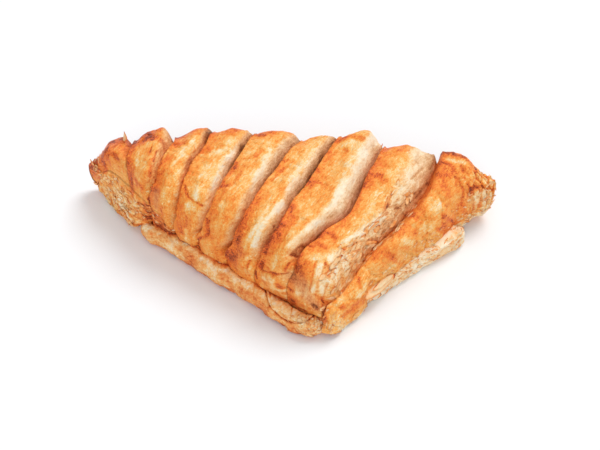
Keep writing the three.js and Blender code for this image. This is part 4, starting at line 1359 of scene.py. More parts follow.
def browning(q, t, at):
    k, x, y = at["k"], at["x"], at["y"]
    bake = along_slat(TOP_BROWNING, k, t)
    bake += 0.10 * crumple(x / 8, y / 8 + 20, 2) + 0.08 * bumps(at["side"] / 2.2 + 3 * k, at["on"] / 9)
    bake += 0.10 * crumple(at["side"] / 1.4 + 5 * k, at["on"] / 4.0, 2)
    bake += LEAF_BAKE * torn * (leaf_share_at - 0.5)
    tip_away = from_right_tip(at)
    lump_edge = 1 - smooth(lump_gaps(at) / 0.30)
    bake += (LUMP_BAKE * lump_edge - 0.16) * smooth(1.3 - tip_away / 22) * (k == 8)
    shelf_bake = SHELF_BAKE * crumple(x / 2.6 + 4, at["walked"] / 2.0) - 0.08
    bake += 0.14 * wrinkles_round_tip(at) + on_shelf(at) * shelf_bake
    head_bake = HEAD_BROWNING[k] * smooth((30 - at["to_fold"]) / 12)
    bake += EDGE_BAKE * (1 - smooth(at["across"] / 6)) * (k > 0) + head_bake
    bake += mark_brown
    ragged = at["on_wall"] + 0.16 * crumple(at["walked"] / 6, k * 3.7) * (at["on_wall"] > 0)
    started = smooth((at["walked"] - WALL_START[k]) / 7)
    paleness = along_slat(WALL_PALENESS, k, t) * smooth((ragged - 0.05) * 2.6) * started
    # Painted shade: the wall's colour darkens from its shoulder down towards the cut.
    wall_bake_and_shade = lerp(WALL_SHOULDER_BAKE, WALL_SHADED_GAP_BAKE, smooth(at["on_wall"]) ** 1.2)
    wall_bake_and_shade = wall_bake_and_shade + along_slat(WALL_BROWNING_AND_SHADE, k, t) * smooth(at["on_wall"] * 2.5)
    wall_bake_and_shade = wall_bake_and_shade + 0.14 * crumple(at["across"] / 1.6, at["walked"] / 4) + 0.8 * mark_brown
    bake = lerp(bake, wall_bake_and_shade, paleness)
    torn_pale = torn * (0.5 + 0.5 * bumps(at["across"] / 2.0, at["walked"] / 9 + 3))
    torn_bake = lerp(TORN_PALE, TORN_GOLD, smooth((torn - 0.3) / 0.4) * (t < 0.54))
    bake = lerp(bake, torn_bake, torn_pale * 0.9)
    outline = np.exp(-(((leaf_share_at - 0.93) / 0.07) ** 2)) * torn
    bake = bake + LEAF_OUTLINE_BAKE * outline + stroke_brown
    # Real browning and painted shade at the bottom of each cut:
    near_left = left_depth * (1 - smooth(at["across"] / 1.0))
    near_right = right_depth * (1 - smooth((at["width"] - at["across"]) / 1.2))
    gap = clamp01((near_left + near_right) / 4)
    less_on_right = (1 - 0.3 * smooth((q - 6.5) * 3)) * (1 - 0.45 * smooth(q - 7.2))
    bake = lerp(bake, GAP_BAKE_AND_SHADE, gap * GAP_BAKE_AND_SHADE_STRENGTH * less_on_right)
    granular = smooth(1 - tip_away / 16) * smooth((q - 8.55) / 0.25)
    bake = bake - GRANULAR_PALENESS * granular
    dough = paleness * (1 - 0.7 * gap) + 0.6 * stroke_dough + 0.12 * torn + 0.12 * on_shelf(at)
    flaky = 0.45 * torn + 0.7 * smooth(1 - tip_away / 24) + 0.5 * smooth(1 - from_left_tip(at) / 16)
    return clamp01(bake), clamp01(dough), clamp01(flaky)


sheet_bake, sheet_dough, sheet_flaky = browning(sheet_q, sheet_t, place)
print("browning from", round(float(sheet_bake.min()), 2), "to", round(float(sheet_bake.max()), 2))

# %% [markdown]
# ## The cut faces and the fold
# A cut face shows the ends of many thin layers, so its browning follows the same layer
# noise as its relief. The fold is rolled crust and keeps the browning of the rim above
# it. Both are worked out on every ring and mixed by `rim_fold`.

# %% Browning of the edge
# The face along the leg sits under the overhanging slats: its dark brown is mostly painted shade.
END_FACE_BROWN, LEG_FACE_SHADED_BROWN, RIGHT_FACE_BROWN = 0.42, 0.84, 0.18
END_FACE_DOUGH, LEG_FACE_DOUGH, RIGHT_FACE_DOUGH = 0.12, 0.1, 0.0
FOLD_BROWN = 0.60
BASE_BROWN = 0.55


def edge_browning():
    walk = rim_walk
    rim_bake = sheet_bake[rim_i, rim_j]
    face_brown_and_shade = lerp(lerp(LEG_FACE_SHADED_BROWN, END_FACE_BROWN, on_left_end), RIGHT_FACE_BROWN, on_right_leg)
    face_dough = lerp(lerp(LEG_FACE_DOUGH, END_FACE_DOUGH, on_left_end), RIGHT_FACE_DOUGH, on_right_leg)
    bake, dough, flaky = [], [], []
    for i, ring in enumerate(rings, start=1):
        share = clamp01(i / CUT_LEVELS)
        if i <= EDGE_LEVELS:
            leaves = face_layers(walk, ring[:, 2]) / 0.4
            specks = crumple(walk / 1.6, ring[:, 2] / 1.3 + 8, 2)
            layered = lerp(rim_bake, face_brown_and_shade - 0.20 * leaves + 0.22 * specks, smooth(share * 4))
            layered_dough, layered_flaky = face_dough * smooth(share * 3), smooth(share * 3) + 0 * walk
        else:
            layered, layered_dough, layered_flaky = BASE_BROWN + 0 * walk, 0 * walk, 0.3 + 0 * walk
        folded = lerp(rim_bake, FOLD_BROWN, smooth(i / 8)) if i <= EDGE_LEVELS else BASE_BROWN + 0 * walk
        bake.append(lerp(layered, folded, rim_fold))
        dough.append(lerp(layered_dough, 0, rim_fold))
        flaky.append(lerp(layered_flaky, 0.1, rim_fold))
    return clamp01(np.array(bake)), clamp01(np.array(dough)), clamp01(np.array(flaky))


ring_bake, ring_dough, ring_flaky = edge_browning()
print("edge browning on average:", round(float(ring_bake.mean()), 2))

# %% [markdown]
# ## The lip
# The bottom sheet bakes gold on its roll, pale where the top sheet shades it, and dark where it
# meets the tray. Its creases and its part under the top sheet carry painted shade. Its stacked
# layers on the right stay palest.

# %% Browning of the lip
LIP_BROWN, STACK_BROWN, NOSE_BROWN, TONGUE_BROWN = 0.47, 0.14, 0.50, 0.24
INNER_SHADE, SHOULDER_PALE, UNDER_BROWN = 0.46, 0.26, 0.26
CREASE_SHADE = 0.34
lip_turns = np.radians(np.linspace(SECTION_TOP_ANGLE, -90, SECTION_LEVELS))[:, None]


def lip_browning():
    near_nose = np.exp(-(((lip_walk - nose_at) / 9) ** 2))
    level = lerp(LIP_BROWN, STACK_BROWN, on_stack) + (NOSE_BROWN - LIP_BROWN) * near_nose
    soft = 1 - on_stack
    # Painted shade where the lip runs in under the top sheet.
    bake = level + soft * INNER_SHADE * smooth((lip_turns - 1.5) / 0.6)
    bake = bake - soft * SHOULDER_PALE * np.exp(-(((lip_turns - 1.15) / 0.35) ** 2))
    bake = bake + soft * UNDER_BROWN * smooth((0.3 - lip_turns) / 0.9)
    walk = np.broadcast_to(lip_walk, bake.shape)
    height = lip_points[..., 2]
    bake = bake + 0.24 * bumps(walk / 5.5, lip_turns * 1.2 + 5) + 0.16 * crumple(walk / 1.5, height / 1.2, 3)
    layers = bumps(walk / 11, height / 1.0 + 4)
    # Painted shade in the pleats and in the groove round the flap.
    bake = bake - 0.12 * layers * on_stack + CREASE_SHADE * clamp01(lip_creased)
    tongue_bake = TONGUE_BROWN + 0.1 * crumple(walk / 2, height / 2)
    bake = lerp(bake, tongue_bake, 0.8 * lip_tongue * (lip_creased < 0.3))
    bake = bake + 0.35 * smooth((0.7 - height) / 0.7) * (1 - on_stack)
    dough = lerp(0.25, 0.4, on_stack) + 0 * bake
    flaky = lerp(0.15 + 0.6 * near_nose, 0.9, on_stack) + 0 * bake
    return clamp01(bake), clamp01(dough), clamp01(flaky)


lip_bake, lip_dough, lip_flaky = lip_browning()
print("lip browning on average:", round(float(lip_bake.mean()), 2))

# %% [markdown]
# ## Two closed skins
# The top sheet is the grid, its rings and one point in the middle of its base. All rows
# of the first column meet in the left tip, so that column is one point and its faces are
# triangles. The bottom sheet is rings alone, closed by a point above and one below.
# Everything is moved to the packed part's frame and into metres here.

# %% Points and faces of the top sheet
TOP_BASE_MIDDLE = np.array([[0.0, 12.0, 1.0]])


def to_metres(points):
    return (points - DRAWING_MIDDLE) / 1000


def between_loops(upper, lower):
    return np.stack([upper, lower, np.roll(lower, -1), np.roll(upper, -1)], axis=1).tolist()


def top_arrays():
    grid_points = sheet_points[1:].reshape(-1, 3)
    vertices = np.concatenate([sheet_points[0, :1], grid_points, rings.reshape(-1, 3), TOP_BASE_MIDDLE])
    across = np.arange(last + 1)[:, None]
    upwards = np.arange(ROWS + 1)[None, :]
    index = np.where(across == 0, 0, 1 + (across - 1) * (ROWS + 1) + upwards)
    a, b = index[:-1, :-1].ravel(), index[1:, :-1].ravel()
    c, d = index[1:, 1:].ravel(), index[:-1, 1:].ravel()
    top = np.stack([a, b, c, d], axis=1).tolist()
    tip_faces = [[0, face[1], face[2]] for face in top[:ROWS]]

    count = len(rim_points)
    ring_start = 1 + len(grid_points)
    loops = [index[rim_i, rim_j]]
    loops += [ring_start + level * count + np.arange(count) for level in range(len(rings))]
    side = [face for upper, lower in zip(loops, loops[1:]) for face in between_loops(upper, lower)]
    centre = len(vertices) - 1
    base = [[a, centre, b] for a, b in zip(loops[-1].tolist(), np.roll(loops[-1], -1).tolist())]
    return vertices, tip_faces + top[ROWS:] + side + base


top_vertices, top_faces = top_arrays()
print("top sheet:", len(top_vertices), "points and", len(top_faces), "faces")

# %% Points and faces of the bottom sheet
SHEET_MIDDLE = (2.0, 4.0)
LIP_INNER_HEIGHT = 4.0
INWARD_STEPS = (0.35, 0.75)


def inward_rings(ring, height):
    """Rings from a ring towards the middle, which close the top or the base."""
    made = []
    for share in INWARD_STEPS:
        plan = lerp(ring[:, :2], np.array(SHEET_MIDDLE), share)
        made.append(np.column_stack([plan, height + 0 * plan[:, 0]]))
    return np.array(made)


def lip_arrays():
    above = inward_rings(lip_points[0], LIP_INNER_HEIGHT)[::-1]
    below = inward_rings(lip_points[-1], 0.0)
    levels = np.concatenate([above, lip_points, below])
    count = len(lip_walk)
    middles = [(*SHEET_MIDDLE, LIP_INNER_HEIGHT), (*SHEET_MIDDLE, 0.0)]
    vertices = np.concatenate([levels.reshape(-1, 3), middles])
    loops = [level * count + np.arange(count) for level in range(len(levels))]
    side = [face for upper, lower in zip(loops, loops[1:]) for face in between_loops(upper, lower)]
    top_centre, base_centre = len(vertices) - 2, len(vertices) - 1
    first, final = loops[0], loops[-1]
    top = [[a, b, top_centre] for a, b in zip(first.tolist(), np.roll(first, -1).tolist())]
    base = [[b, a, base_centre] for a, b in zip(final.tolist(), np.roll(final, -1).tolist())]
    return vertices, top + side + base


bottom_vertices, bottom_faces = lip_arrays()
print("bottom sheet:", len(bottom_vertices), "points and", len(bottom_faces), "faces")

# %% [markdown]
# ## Numbers that ride on the points
# Each skin carries its browning as point attributes, which its finish reads back. So the
# pattern stays on the form, whatever the form does. A few more attributes say where loose
# leaves lie, how large they are and which way they point.

# %% Where loose leaves lie
LEAF_CLEARANCE = 1.2
SCALE_POWER = 2.2


def top_field(on_grid, on_rings, at_base):
    grid = on_grid[1:].reshape(-1, *on_grid.shape[2:])
    return np.concatenate([on_grid[0, :1], grid, on_rings.reshape(-1, *on_rings.shape[2:]), [at_base]])


def lip_field(values):
    spare = len(INWARD_STEPS)
    levels = np.concatenate([values[:1]] * spare + [values] + [values[-1:]] * spare)
    ends = [levels[0, 0], levels[-1, 0]]
    return np.concatenate([levels.reshape(-1, *levels.shape[2:]), ends])


def round_the_rings(points):
    """The direction of each ring at each of its points."""
    return unit_rows(np.roll(points, -1, axis=1) - np.roll(points, 1, axis=1))


def top_leafiness():
    """How thickly leaves lie on the slats: in the torn zone, on the tips and along the edge."""
    at_right_tip = smooth(1 - from_right_tip(place) / 22) * (place["k"] == 8)
    at_left_tip = smooth(1 - from_left_tip(place) / 13)
    leafy = 1.1 * smooth((torn - 0.25) / 0.5)
    leafy = leafy + 0.5 * at_right_tip * smooth((sheet_q - 8.4) / 0.4) + 0.7 * at_left_tip
    leafy = leafy + 0.5 * smooth((0.05 - sheet_t) / 0.04) * (sheet_q > 7.9)
    leafy = clamp01(leafy + 0.25 * smooth((sheet_q - 8.75) / 0.2))
    leafy = leafy * (sheet_points[..., 2] > LEAF_CLEARANCE) / grid_scale ** SCALE_POWER
    return leafy * (1 - 0.75 * smooth((sheet_t - 0.48) / 0.12) * (sheet_q < 8))


def face_leafiness():
    """How thickly leaves lie on the cut faces."""
    level = np.arange(1, len(rings) + 1)[:, None]
    on_face = smooth((level - 1) / 3) * smooth((CUT_LEVELS + 1 - level) / 3)
    leafy = on_face * (1 - rim_fold) * clamp01(0.5 * on_left_end + 0.5 * on_right_leg + 0.2)
    return leafy * (rings[..., 2] > LEAF_CLEARANCE)


def lip_leafiness():
    """How thickly leaves lie on the lip: on its stacked layers and round the nose."""
    near_nose = np.exp(-(((lip_walk - nose_at + 4) / 9) ** 2))
    leafy = 0.5 * on_stack + 0.9 * near_nose
    leafy = leafy * smooth((1.9 - lip_turns) / 0.5) * smooth((lip_turns + 1.3) / 0.4)
    return clamp01(leafy * lip_shown * (lip_points[..., 2] > LEAF_CLEARANCE))


grid_scale = 1 + 0.7 * smooth(torn * 2)
grid_leafy, ring_leafy, lip_leafy = top_leafiness(), face_leafiness(), lip_leafiness()
grid_heading = grid_normals(sheet_points)[2]
print("leafy share of the slats:", round(float((grid_leafy > 0.1).mean()), 2))

# %% Make the two sheets
def new_object(name, vertices, faces):
    mesh = bpy.data.meshes.new(name)
    mesh.from_pydata(vertices.tolist(), [], faces)
    mesh.update()
    mesh.polygons.foreach_set("use_smooth", [True] * len(mesh.polygons))
    obj = bpy.data.objects.new(name, mesh)
    bpy.context.collection.objects.link(obj)
    triangles = sum(len(face) - 2 for face in faces)
    print(name + ":", len(vertices), "points,", triangles, "triangles")
    return obj


def add_field(obj, name, values):
    kind, key = ("FLOAT", "value") if values.ndim == 1 else ("FLOAT_VECTOR", "vector")
    attribute = obj.data.attributes.new(name, kind, "POINT")
    attribute.data.foreach_set(key, np.ascontiguousarray(values, dtype=np.float32).ravel())


def vectors(first, second, third):
    return np.stack(np.broadcast_arrays(first, second, third), axis=-1).astype(float)


# The grain runs along the slats on top, and round the edge below.
top_sheet = new_object("top_sheet", to_metres(top_vertices), top_faces)
side, on = streaks(sheet_points)
sheet_grain = vectors(side + 40 * place["k"], on, sheet_points[..., 2])
ring_grain = vectors(rings[..., 2], rim_walk, 9.0)
for name, values in (
    ("bake", top_field(sheet_bake, ring_bake, BASE_BROWN)),
    ("dough", top_field(sheet_dough, ring_dough, 0.0)),
    ("flaky", top_field(sheet_flaky, ring_flaky, 0.3)),
    ("grain", top_field(sheet_grain, ring_grain, np.zeros(3)) / 1000),
    ("leafy", top_field(grid_leafy, ring_leafy, 0.0)),
    ("leaf_scale", top_field(grid_scale, np.ones(rings.shape[:2]), 1.0)),
    ("heading", top_field(grid_heading, round_the_rings(rings), np.array([1.0, 0, 0]))),
):
    add_field(top_sheet, name, values)

bottom_sheet = new_object("bottom_sheet", to_metres(bottom_vertices), bottom_faces)
lip_grain = vectors(lip_points[..., 2] + 3, lip_walk, 20.0)
for name, values in (
    ("bake", lip_bake), ("dough", lip_dough), ("flaky", lip_flaky), ("grain", lip_grain / 1000),
    ("leaf_scale", np.ones(lip_points.shape[:2])), ("leafy", lip_leafy),
    ("heading", round_the_rings(lip_points)),
):
    add_field(bottom_sheet, name, lip_field(values))

# %% [markdown]
# ## Loose leaves of crust
# Baked puff pastry sheds: the torn slat, the cut faces, the nose and the right tip are
# covered in small curled flakes. They follow one rule, so Geometry Nodes scatters them:
# points where the sheet is leafy, on each a thin closed lens that points along the sheet
# and lifts one end. The tree ends as one plain mesh for each sheet.

# %% A tree with named inputs
leaf_tree = bpy.data.node_groups.new("loose_leaves", "GeometryNodeTree")
leaf_inputs = (
    ("Density", 60000.0), ("Length", 0.004), ("Width", 0.0012), ("Lift", 0.16), ("Curl", 0.22),
)


def tree_node(kind, settings=None, sockets=None):
    node = leaf_tree.nodes.new(kind)
    for name, value in (settings or {}).items():
        setattr(node, name, value)
    for name, value in (sockets or {}).items():
        if isinstance(value, bpy.types.NodeSocket):
            leaf_tree.links.new(value, node.inputs[name])
        else:
            node.inputs[name].default_value = value
    return node


def tree_maths(operation, first, second=0.0, third=0.0):
    return tree_node("ShaderNodeMath", {"operation": operation}, {0: first, 1: second, 2: third}).outputs[0]


def named(name, kind):
    node = tree_node("GeometryNodeInputNamedAttribute", {"data_type": kind}, {"Name": name})
    return node.outputs["Attribute"]


interface = leaf_tree.interface
interface.new_socket("Geometry", in_out="INPUT", socket_type="NodeSocketGeometry")
for input_name, value in leaf_inputs:
    interface.new_socket(input_name, in_out="INPUT", socket_type="NodeSocketFloat").default_value = value
interface.new_socket("Seed", in_out="INPUT", socket_type="NodeSocketInt").default_value = 7
interface.new_socket("Finish", in_out="INPUT", socket_type="NodeSocketMaterial")
interface.new_socket("Geometry", in_out="OUTPUT", socket_type="NodeSocketGeometry")
group_in = tree_node("NodeGroupInput").outputs
group_out = tree_node("NodeGroupOutput")
print("tree inputs:", ", ".join(name for name, _ in leaf_inputs))

# %% One leaf: a ball pressed flat, its far end curled up and its outline remembered
LEAF_SEGMENTS, LEAF_RINGS = 12, 4
LEAF_THICKNESS = 0.08

ball = tree_node("GeometryNodeMeshUVSphere", {}, {
    "Segments": LEAF_SEGMENTS, "Rings": LEAF_RINGS, "Radius": 0.5})
here = tree_node("GeometryNodeInputPosition").outputs[0]
where = tree_node("ShaderNodeSeparateXYZ", {}, {0: here}).outputs
squares = tree_maths("ADD", tree_maths("POWER", where[0], 2.0), tree_maths("POWER", where[1], 2.0))
outline_share = tree_maths("MULTIPLY", tree_maths("SQRT", squares), 2.0)
outlined = tree_node("GeometryNodeStoreNamedAttribute", {"data_type": "FLOAT", "domain": "POINT"}, {
    "Geometry": ball.outputs["Mesh"], "Name": "outline", "Value": outline_share})
far_end = tree_maths("POWER", tree_maths("MAXIMUM", where[0], 0.0), 2.0)
raised = tree_maths("MULTIPLY", far_end, group_in["Curl"])
flattened = tree_maths("MULTIPLY", where[2], LEAF_THICKNESS)
pressed = tree_maths("ADD", flattened, tree_maths("MULTIPLY", raised, 4.0))
bent = tree_node("ShaderNodeCombineXYZ", {}, {0: where[0], 1: where[1], 2: pressed})
leaf_form = tree_node("GeometryNodeSetPosition", {}, {
    "Geometry": outlined.outputs[0], "Position": bent.outputs[0]})
print("one leaf:", LEAF_SEGMENTS * (LEAF_RINGS - 1) * 2, "triangles")

# %% Points, each turned so that its leaf lies on the sheet and points along it
LEAST_DISTANCE = 0.0006

scatter = tree_node("GeometryNodeDistributePointsOnFaces", {"distribute_method": "POISSON"}, {
    "Mesh": group_in["Geometry"], "Density Max": group_in["Density"],
    "Density Factor": named("leafy", "FLOAT"), "Distance Min": LEAST_DISTANCE,
    "Seed": group_in["Seed"]})
upright = tree_node("FunctionNodeAlignRotationToVector", {"axis": "Z"}, {
    "Vector": scatter.outputs["Normal"]})
ahead = tree_node("FunctionNodeAlignRotationToVector", {"axis": "X", "pivot_axis": "Z"}, {
    "Rotation": upright.outputs[0], "Vector": named("heading", "FLOAT_VECTOR")})


def random_number(low, high, salt):
    seed = tree_node("FunctionNodeIntegerMath", {"operation": "ADD"}, {0: group_in["Seed"], 1: salt})
    node = tree_node("FunctionNodeRandomValue", {"data_type": "FLOAT"}, {"Seed": seed.outputs[0]})
    node.inputs[2].default_value, node.inputs[3].default_value = low, high
    return node.outputs[1]


tilt = tree_maths("MULTIPLY", group_in["Lift"], random_number(-1.6, 0.4, 1))
turn = tree_node("ShaderNodeCombineXYZ", {}, {
    0: random_number(-0.4, 0.4, 2), 1: tilt, 2: random_number(-0.55, 0.55, 3)})
twisted = tree_node("FunctionNodeRotateRotation", {"rotation_space": "LOCAL"}, {
    "Rotation": ahead.outputs[0], "Rotate By": turn.outputs[0]})
print("nodes so far:", len(leaf_tree.nodes))

# %% Leaves of every size and tone
def sized(input_name, low, high, salt):
    local = tree_maths("MULTIPLY", group_in[input_name], named("leaf_scale", "FLOAT"))
    return tree_maths("MULTIPLY", local, random_number(low, high, salt))


long_way = sized("Length", 0.45, 1.35, 4)
wide_way = sized("Width", 0.5, 1.5, 5)
leaf_size = tree_node("ShaderNodeCombineXYZ", {}, {0: long_way, 1: wide_way, 2: wide_way})
placed = tree_node("GeometryNodeInstanceOnPoints", {}, {
    "Points": scatter.outputs["Points"], "Instance": leaf_form.outputs[0],
    "Rotation": twisted.outputs[0], "Scale": leaf_size.outputs[0]})
toned = tree_node("GeometryNodeStoreNamedAttribute", {"data_type": "FLOAT", "domain": "INSTANCE"}, {
    "Geometry": placed.outputs[0], "Name": "tone", "Value": random_number(0.0, 1.0, 6)})
realized = tree_node("GeometryNodeRealizeInstances", {}, {"Geometry": toned.outputs[0]})
print("nodes so far:", len(leaf_tree.nodes))

# %% A torn outline for each leaf, and the end of the tree
RAGGED_SIZE = 700.0
RAGGED_REACH = (0.0011, 0.0011, 0.00044)

shaken = tree_node("ShaderNodeTexNoise", {}, {"Scale": RAGGED_SIZE, "Detail": 1.0, "Roughness": 0.6})
centred = tree_node("ShaderNodeVectorMath", {"operation": "SUBTRACT"}, {
    0: shaken.outputs["Color"], 1: (0.5, 0.5, 0.5)})
pushed = tree_node("ShaderNodeVectorMath", {"operation": "MULTIPLY"}, {
    0: centred.outputs[0], 1: RAGGED_REACH})
ragged = tree_node("GeometryNodeSetPosition", {}, {
    "Geometry": realized.outputs[0], "Offset": pushed.outputs[0]})
finished = tree_node("GeometryNodeSetMaterial", {}, {
    "Geometry": ragged.outputs[0], "Material": group_in["Finish"]})
leaf_tree.links.new(finished.outputs[0], group_out.inputs[0])
print("nodes in the tree:", len(leaf_tree.nodes))

# %% Scatter the leaves
def scattered(name, source, finish, seed, **sizes):
    """A plain mesh of leaves on the source sheet."""
    piece = bpy.data.objects.new(name, source.data.copy())
    bpy.context.collection.objects.link(piece)
    modifier = piece.modifiers.new("leaves", "NODES")
    modifier.node_group = leaf_tree
    named_sockets = {item.name: item.identifier for item in interface.items_tree if item.in_out == "INPUT"}
    modifier[named_sockets["Seed"]] = seed
    modifier[named_sockets["Finish"]] = finish
    for size_name, value in sizes.items():
        modifier[named_sockets[size_name]] = value
    evaluated = piece.evaluated_get(bpy.context.evaluated_depsgraph_get())
    mesh = bpy.data.meshes.new_from_object(evaluated)
    piece.modifiers.clear()
    piece.data = mesh
    mesh.polygons.foreach_set("use_smooth", [True] * len(mesh.polygons))
    print(name + ":", sum(len(face.vertices) - 2 for face in mesh.polygons), "triangles")
    return piece


leaf_finish = bpy.data.materials.new("loose_leaf")
leaf_finish.use_nodes = True
top_leaves = scattered("top_leaves", top_sheet, leaf_finish, 7,
                       Density=420000.0, Length=0.0034, Width=0.00095, Lift=0.10, Curl=0.16)
edge_leaves = scattered("edge_leaves", bottom_sheet, leaf_finish, 11,
                        Density=380000.0, Length=0.0026, Width=0.0008, Lift=0.08, Curl=0.14)

# %% [markdown]
# ## Leaves that stand alone
# A long pale flap has come loose from the right leg just past the nose, a flake stands
# up on the left tip and a dark fibre lies near the fold. A scatter can't be told to put
# one leaf in one place, so these few are drawn one by one: a thin closed lens with a
# wavy outline, bent along its length and turned into its place.

# %% Single leaves
# Middle in millimetres, length, width, heading, tilt and roll in degrees, curl, tone.
SINGLE_LEAVES = (
    ((39.3, -23.0, 8.2), 19.0, 4.6, 52, 2, 40, 0.0, -0.05),
    ((40.6, -21.6, 8.9), 13.0, 2.4, 52, 2, 40, 0.0, -0.25),
    ((-68.6, 33.0, 30.9), 5.0, 3.2, 20, -80, 10, 0.06, 0.30),
    ((37.2, 31.2, 33.4), 3.2, 0.5, 60, -50, 0, 0.10, 0.70),
)
SINGLE_AROUND, SINGLE_LEVELS = 24, 8


def single_leaf(middle, length, width, heading, tilt, roll, curl, tone):
    """A thin closed lens with a wavy outline: its points, faces, outline and tone."""
    around = np.linspace(0, 2 * np.pi, SINGLE_AROUND, endpoint=False)
    points, outlines = [(0.0, 0.0, -0.5)], [0.0]
    for turn in np.radians(np.linspace(-90, 90, SINGLE_LEVELS + 2)[1:-1]):
        wavy = 1 + 0.14 * bumps(around * 2.2, 0 * around + middle[0]) * math.cos(turn)
        out = 0.5 * (math.cos(turn) * wavy)
        level_height = 0 * around + 0.5 * math.sin(turn)
        points += np.column_stack([out * np.cos(around), out * np.sin(around), level_height]).tolist()
        outlines += [math.cos(turn)] * SINGLE_AROUND
    points, outlines = np.array(points + [(0.0, 0.0, 0.5)]), np.array(outlines + [0.0])
    faces = [[0, 1 + (i + 1) % SINGLE_AROUND, 1 + i] for i in range(SINGLE_AROUND)]
    for level in range(SINGLE_LEVELS - 1):
        base = 1 + level * SINGLE_AROUND
        for i in range(SINGLE_AROUND):
            j = (i + 1) % SINGLE_AROUND
            faces.append([base + i, base + j, base + SINGLE_AROUND + j, base + SINGLE_AROUND + i])
    top, base = len(points) - 1, 1 + (SINGLE_LEVELS - 1) * SINGLE_AROUND
    faces += [[top, base + i, base + (i + 1) % SINGLE_AROUND] for i in range(SINGLE_AROUND)]
    sized = points * (length, width, 0.5)
    sized[:, 2] += curl * length * (2 * points[:, 0]) ** 2 - 0.12 * width * (2 * points[:, 1]) ** 2
    turned = Euler((math.radians(roll), math.radians(tilt), math.radians(heading))).to_matrix()
    return sized @ np.array(turned).T + np.array(middle), faces, outlines, tone + 0 * outlines


def single_leaves():
    points, faces, outlines, tones = [], [], [], []
    for row in SINGLE_LEAVES:
        leaf_points, leaf_faces, leaf_outlines, leaf_tones = single_leaf(*row)
        start = sum(len(part) for part in points)
        faces += [[start + index for index in face] for face in leaf_faces]
        points.append(leaf_points)
        outlines.append(leaf_outlines)
        tones.append(leaf_tones)
    piece = new_object("single_leaves", to_metres(np.concatenate(points)), faces)
    add_field(piece, "outline", np.concatenate(outlines))
    add_field(piece, "tone", np.concatenate(tones))
    add_field(piece, "edged", np.ones(sum(len(part) for part in points)))
    return piece


few_leaves = single_leaves()
few_leaves.data.materials.append(leaf_finish)

# %% [markdown]
# ## Shader maths as Python
# A material is a sum of noises and masks. Wiring Math nodes by hand is slow to read, so
# a small class wraps a socket: adding, subtracting or multiplying two of them adds the
# node. Everything that isn't plain arithmetic goes through one method, `node`.

# %% A socket that does arithmetic
class Signal:
    def __init__(self, recipe, socket):
        self.recipe = recipe
        self.socket = socket

    def _math(self, operation, first, second):
        node = self.recipe.node("ShaderNodeMath", {"operation": operation}, {0: first, 1: second})
        return Signal(self.recipe, node.outputs[0])

    def __add__(self, other):
        return self._math("ADD", self, other)

    def __radd__(self, other):
        return self._math("ADD", other, self)

    def __sub__(self, other):
        return self._math("SUBTRACT", self, other)

    def __rsub__(self, other):
        return self._math("SUBTRACT", other, self)

    def __mul__(self, other):
        return self._math("MULTIPLY", self, other)

    def __rmul__(self, other):
        return self._math("MULTIPLY", other, self)


print("a signal adds, subtracts and multiplies")

# %% A recipe of nodes
class Recipe:
    """One node tree, and the few ways in which nodes are added to it."""

    def __init__(self, tree):
        self.tree = tree

    def node(self, kind, settings=None, sockets=None):
        node = self.tree.nodes.new(kind)
        for name, value in (settings or {}).items():
            if name == "stops":
                self._set_stops(node.color_ramp, value)
            else:
                setattr(node, name, value)
        for name, value in (sockets or {}).items():
            socket = node.inputs[name]
            if isinstance(value, Signal):
                self.tree.links.new(value.socket, socket)
            else:
                socket.default_value = value
        return node

    def _set_stops(self, ramp, stops):
        while len(ramp.elements) < len(stops):
            ramp.elements.new(1.0)
        for element, (position, colour) in zip(ramp.elements, stops):
            element.position = position
            element.color = (*colour, 1.0)

    def out(self, node, name=0):
        return Signal(self, node.outputs[name])

    def field(self, name, output="Fac"):
        return self.out(self.node("ShaderNodeAttribute", {"attribute_name": name}), output)

    def stretched(self, vector, scale):
        return self.out(self.node("ShaderNodeMapping", {}, {"Vector": vector, "Scale": scale}))

    def noise(self, vector, scale, detail=2.0, roughness=0.5, distortion=0.0):
        """Noise between about -1 and 1."""
        sockets = {"Vector": vector, "Scale": scale, "Detail": detail, "Roughness": roughness,
                   "Distortion": distortion}
        return 3.0 * (self.out(self.node("ShaderNodeTexNoise", {}, sockets)) - 0.5)

    def between(self, value, low, high, to_low=0.0, to_high=1.0):
        sockets = {"Value": value, "From Min": low, "From Max": high,
                   "To Min": to_low, "To Max": to_high}
        settings = {"interpolation_type": "SMOOTHSTEP"}
        return self.out(self.node("ShaderNodeMapRange", settings, sockets))

    def ramp(self, share, stops):
        return self.out(self.node("ShaderNodeValToRGB", {"stops": stops}, {"Fac": share}), "Color")

    def blend(self, share, first, second):
        node = self.node("ShaderNodeMix", {"data_type": "RGBA"}, {0: share, 6: first, 7: second})
        return self.out(node, 2)


def new_finish(name):
    material = bpy.data.materials.new(name)
    material.use_nodes = True
    return material, Recipe(material.node_tree), material.node_tree.nodes["Principled BSDF"]


print("a recipe can:", ", ".join(name for name in vars(Recipe) if not name.startswith("_")))

# %% [markdown]
# ## Colours of baking
# Colours are written as they look on paper, 0 to 255, and turned into the linear values
# that Blender mixes. The crust ramp goes from raw dough over gold to dark brown.

# %% Colours
def linear(red, green, blue):
    shares = [channel / 255 for channel in (red, green, blue)]
    return tuple(c / 12.92 if c <= 0.04045 else ((c + 0.055) / 1.055) ** 2.4 for c in shares)


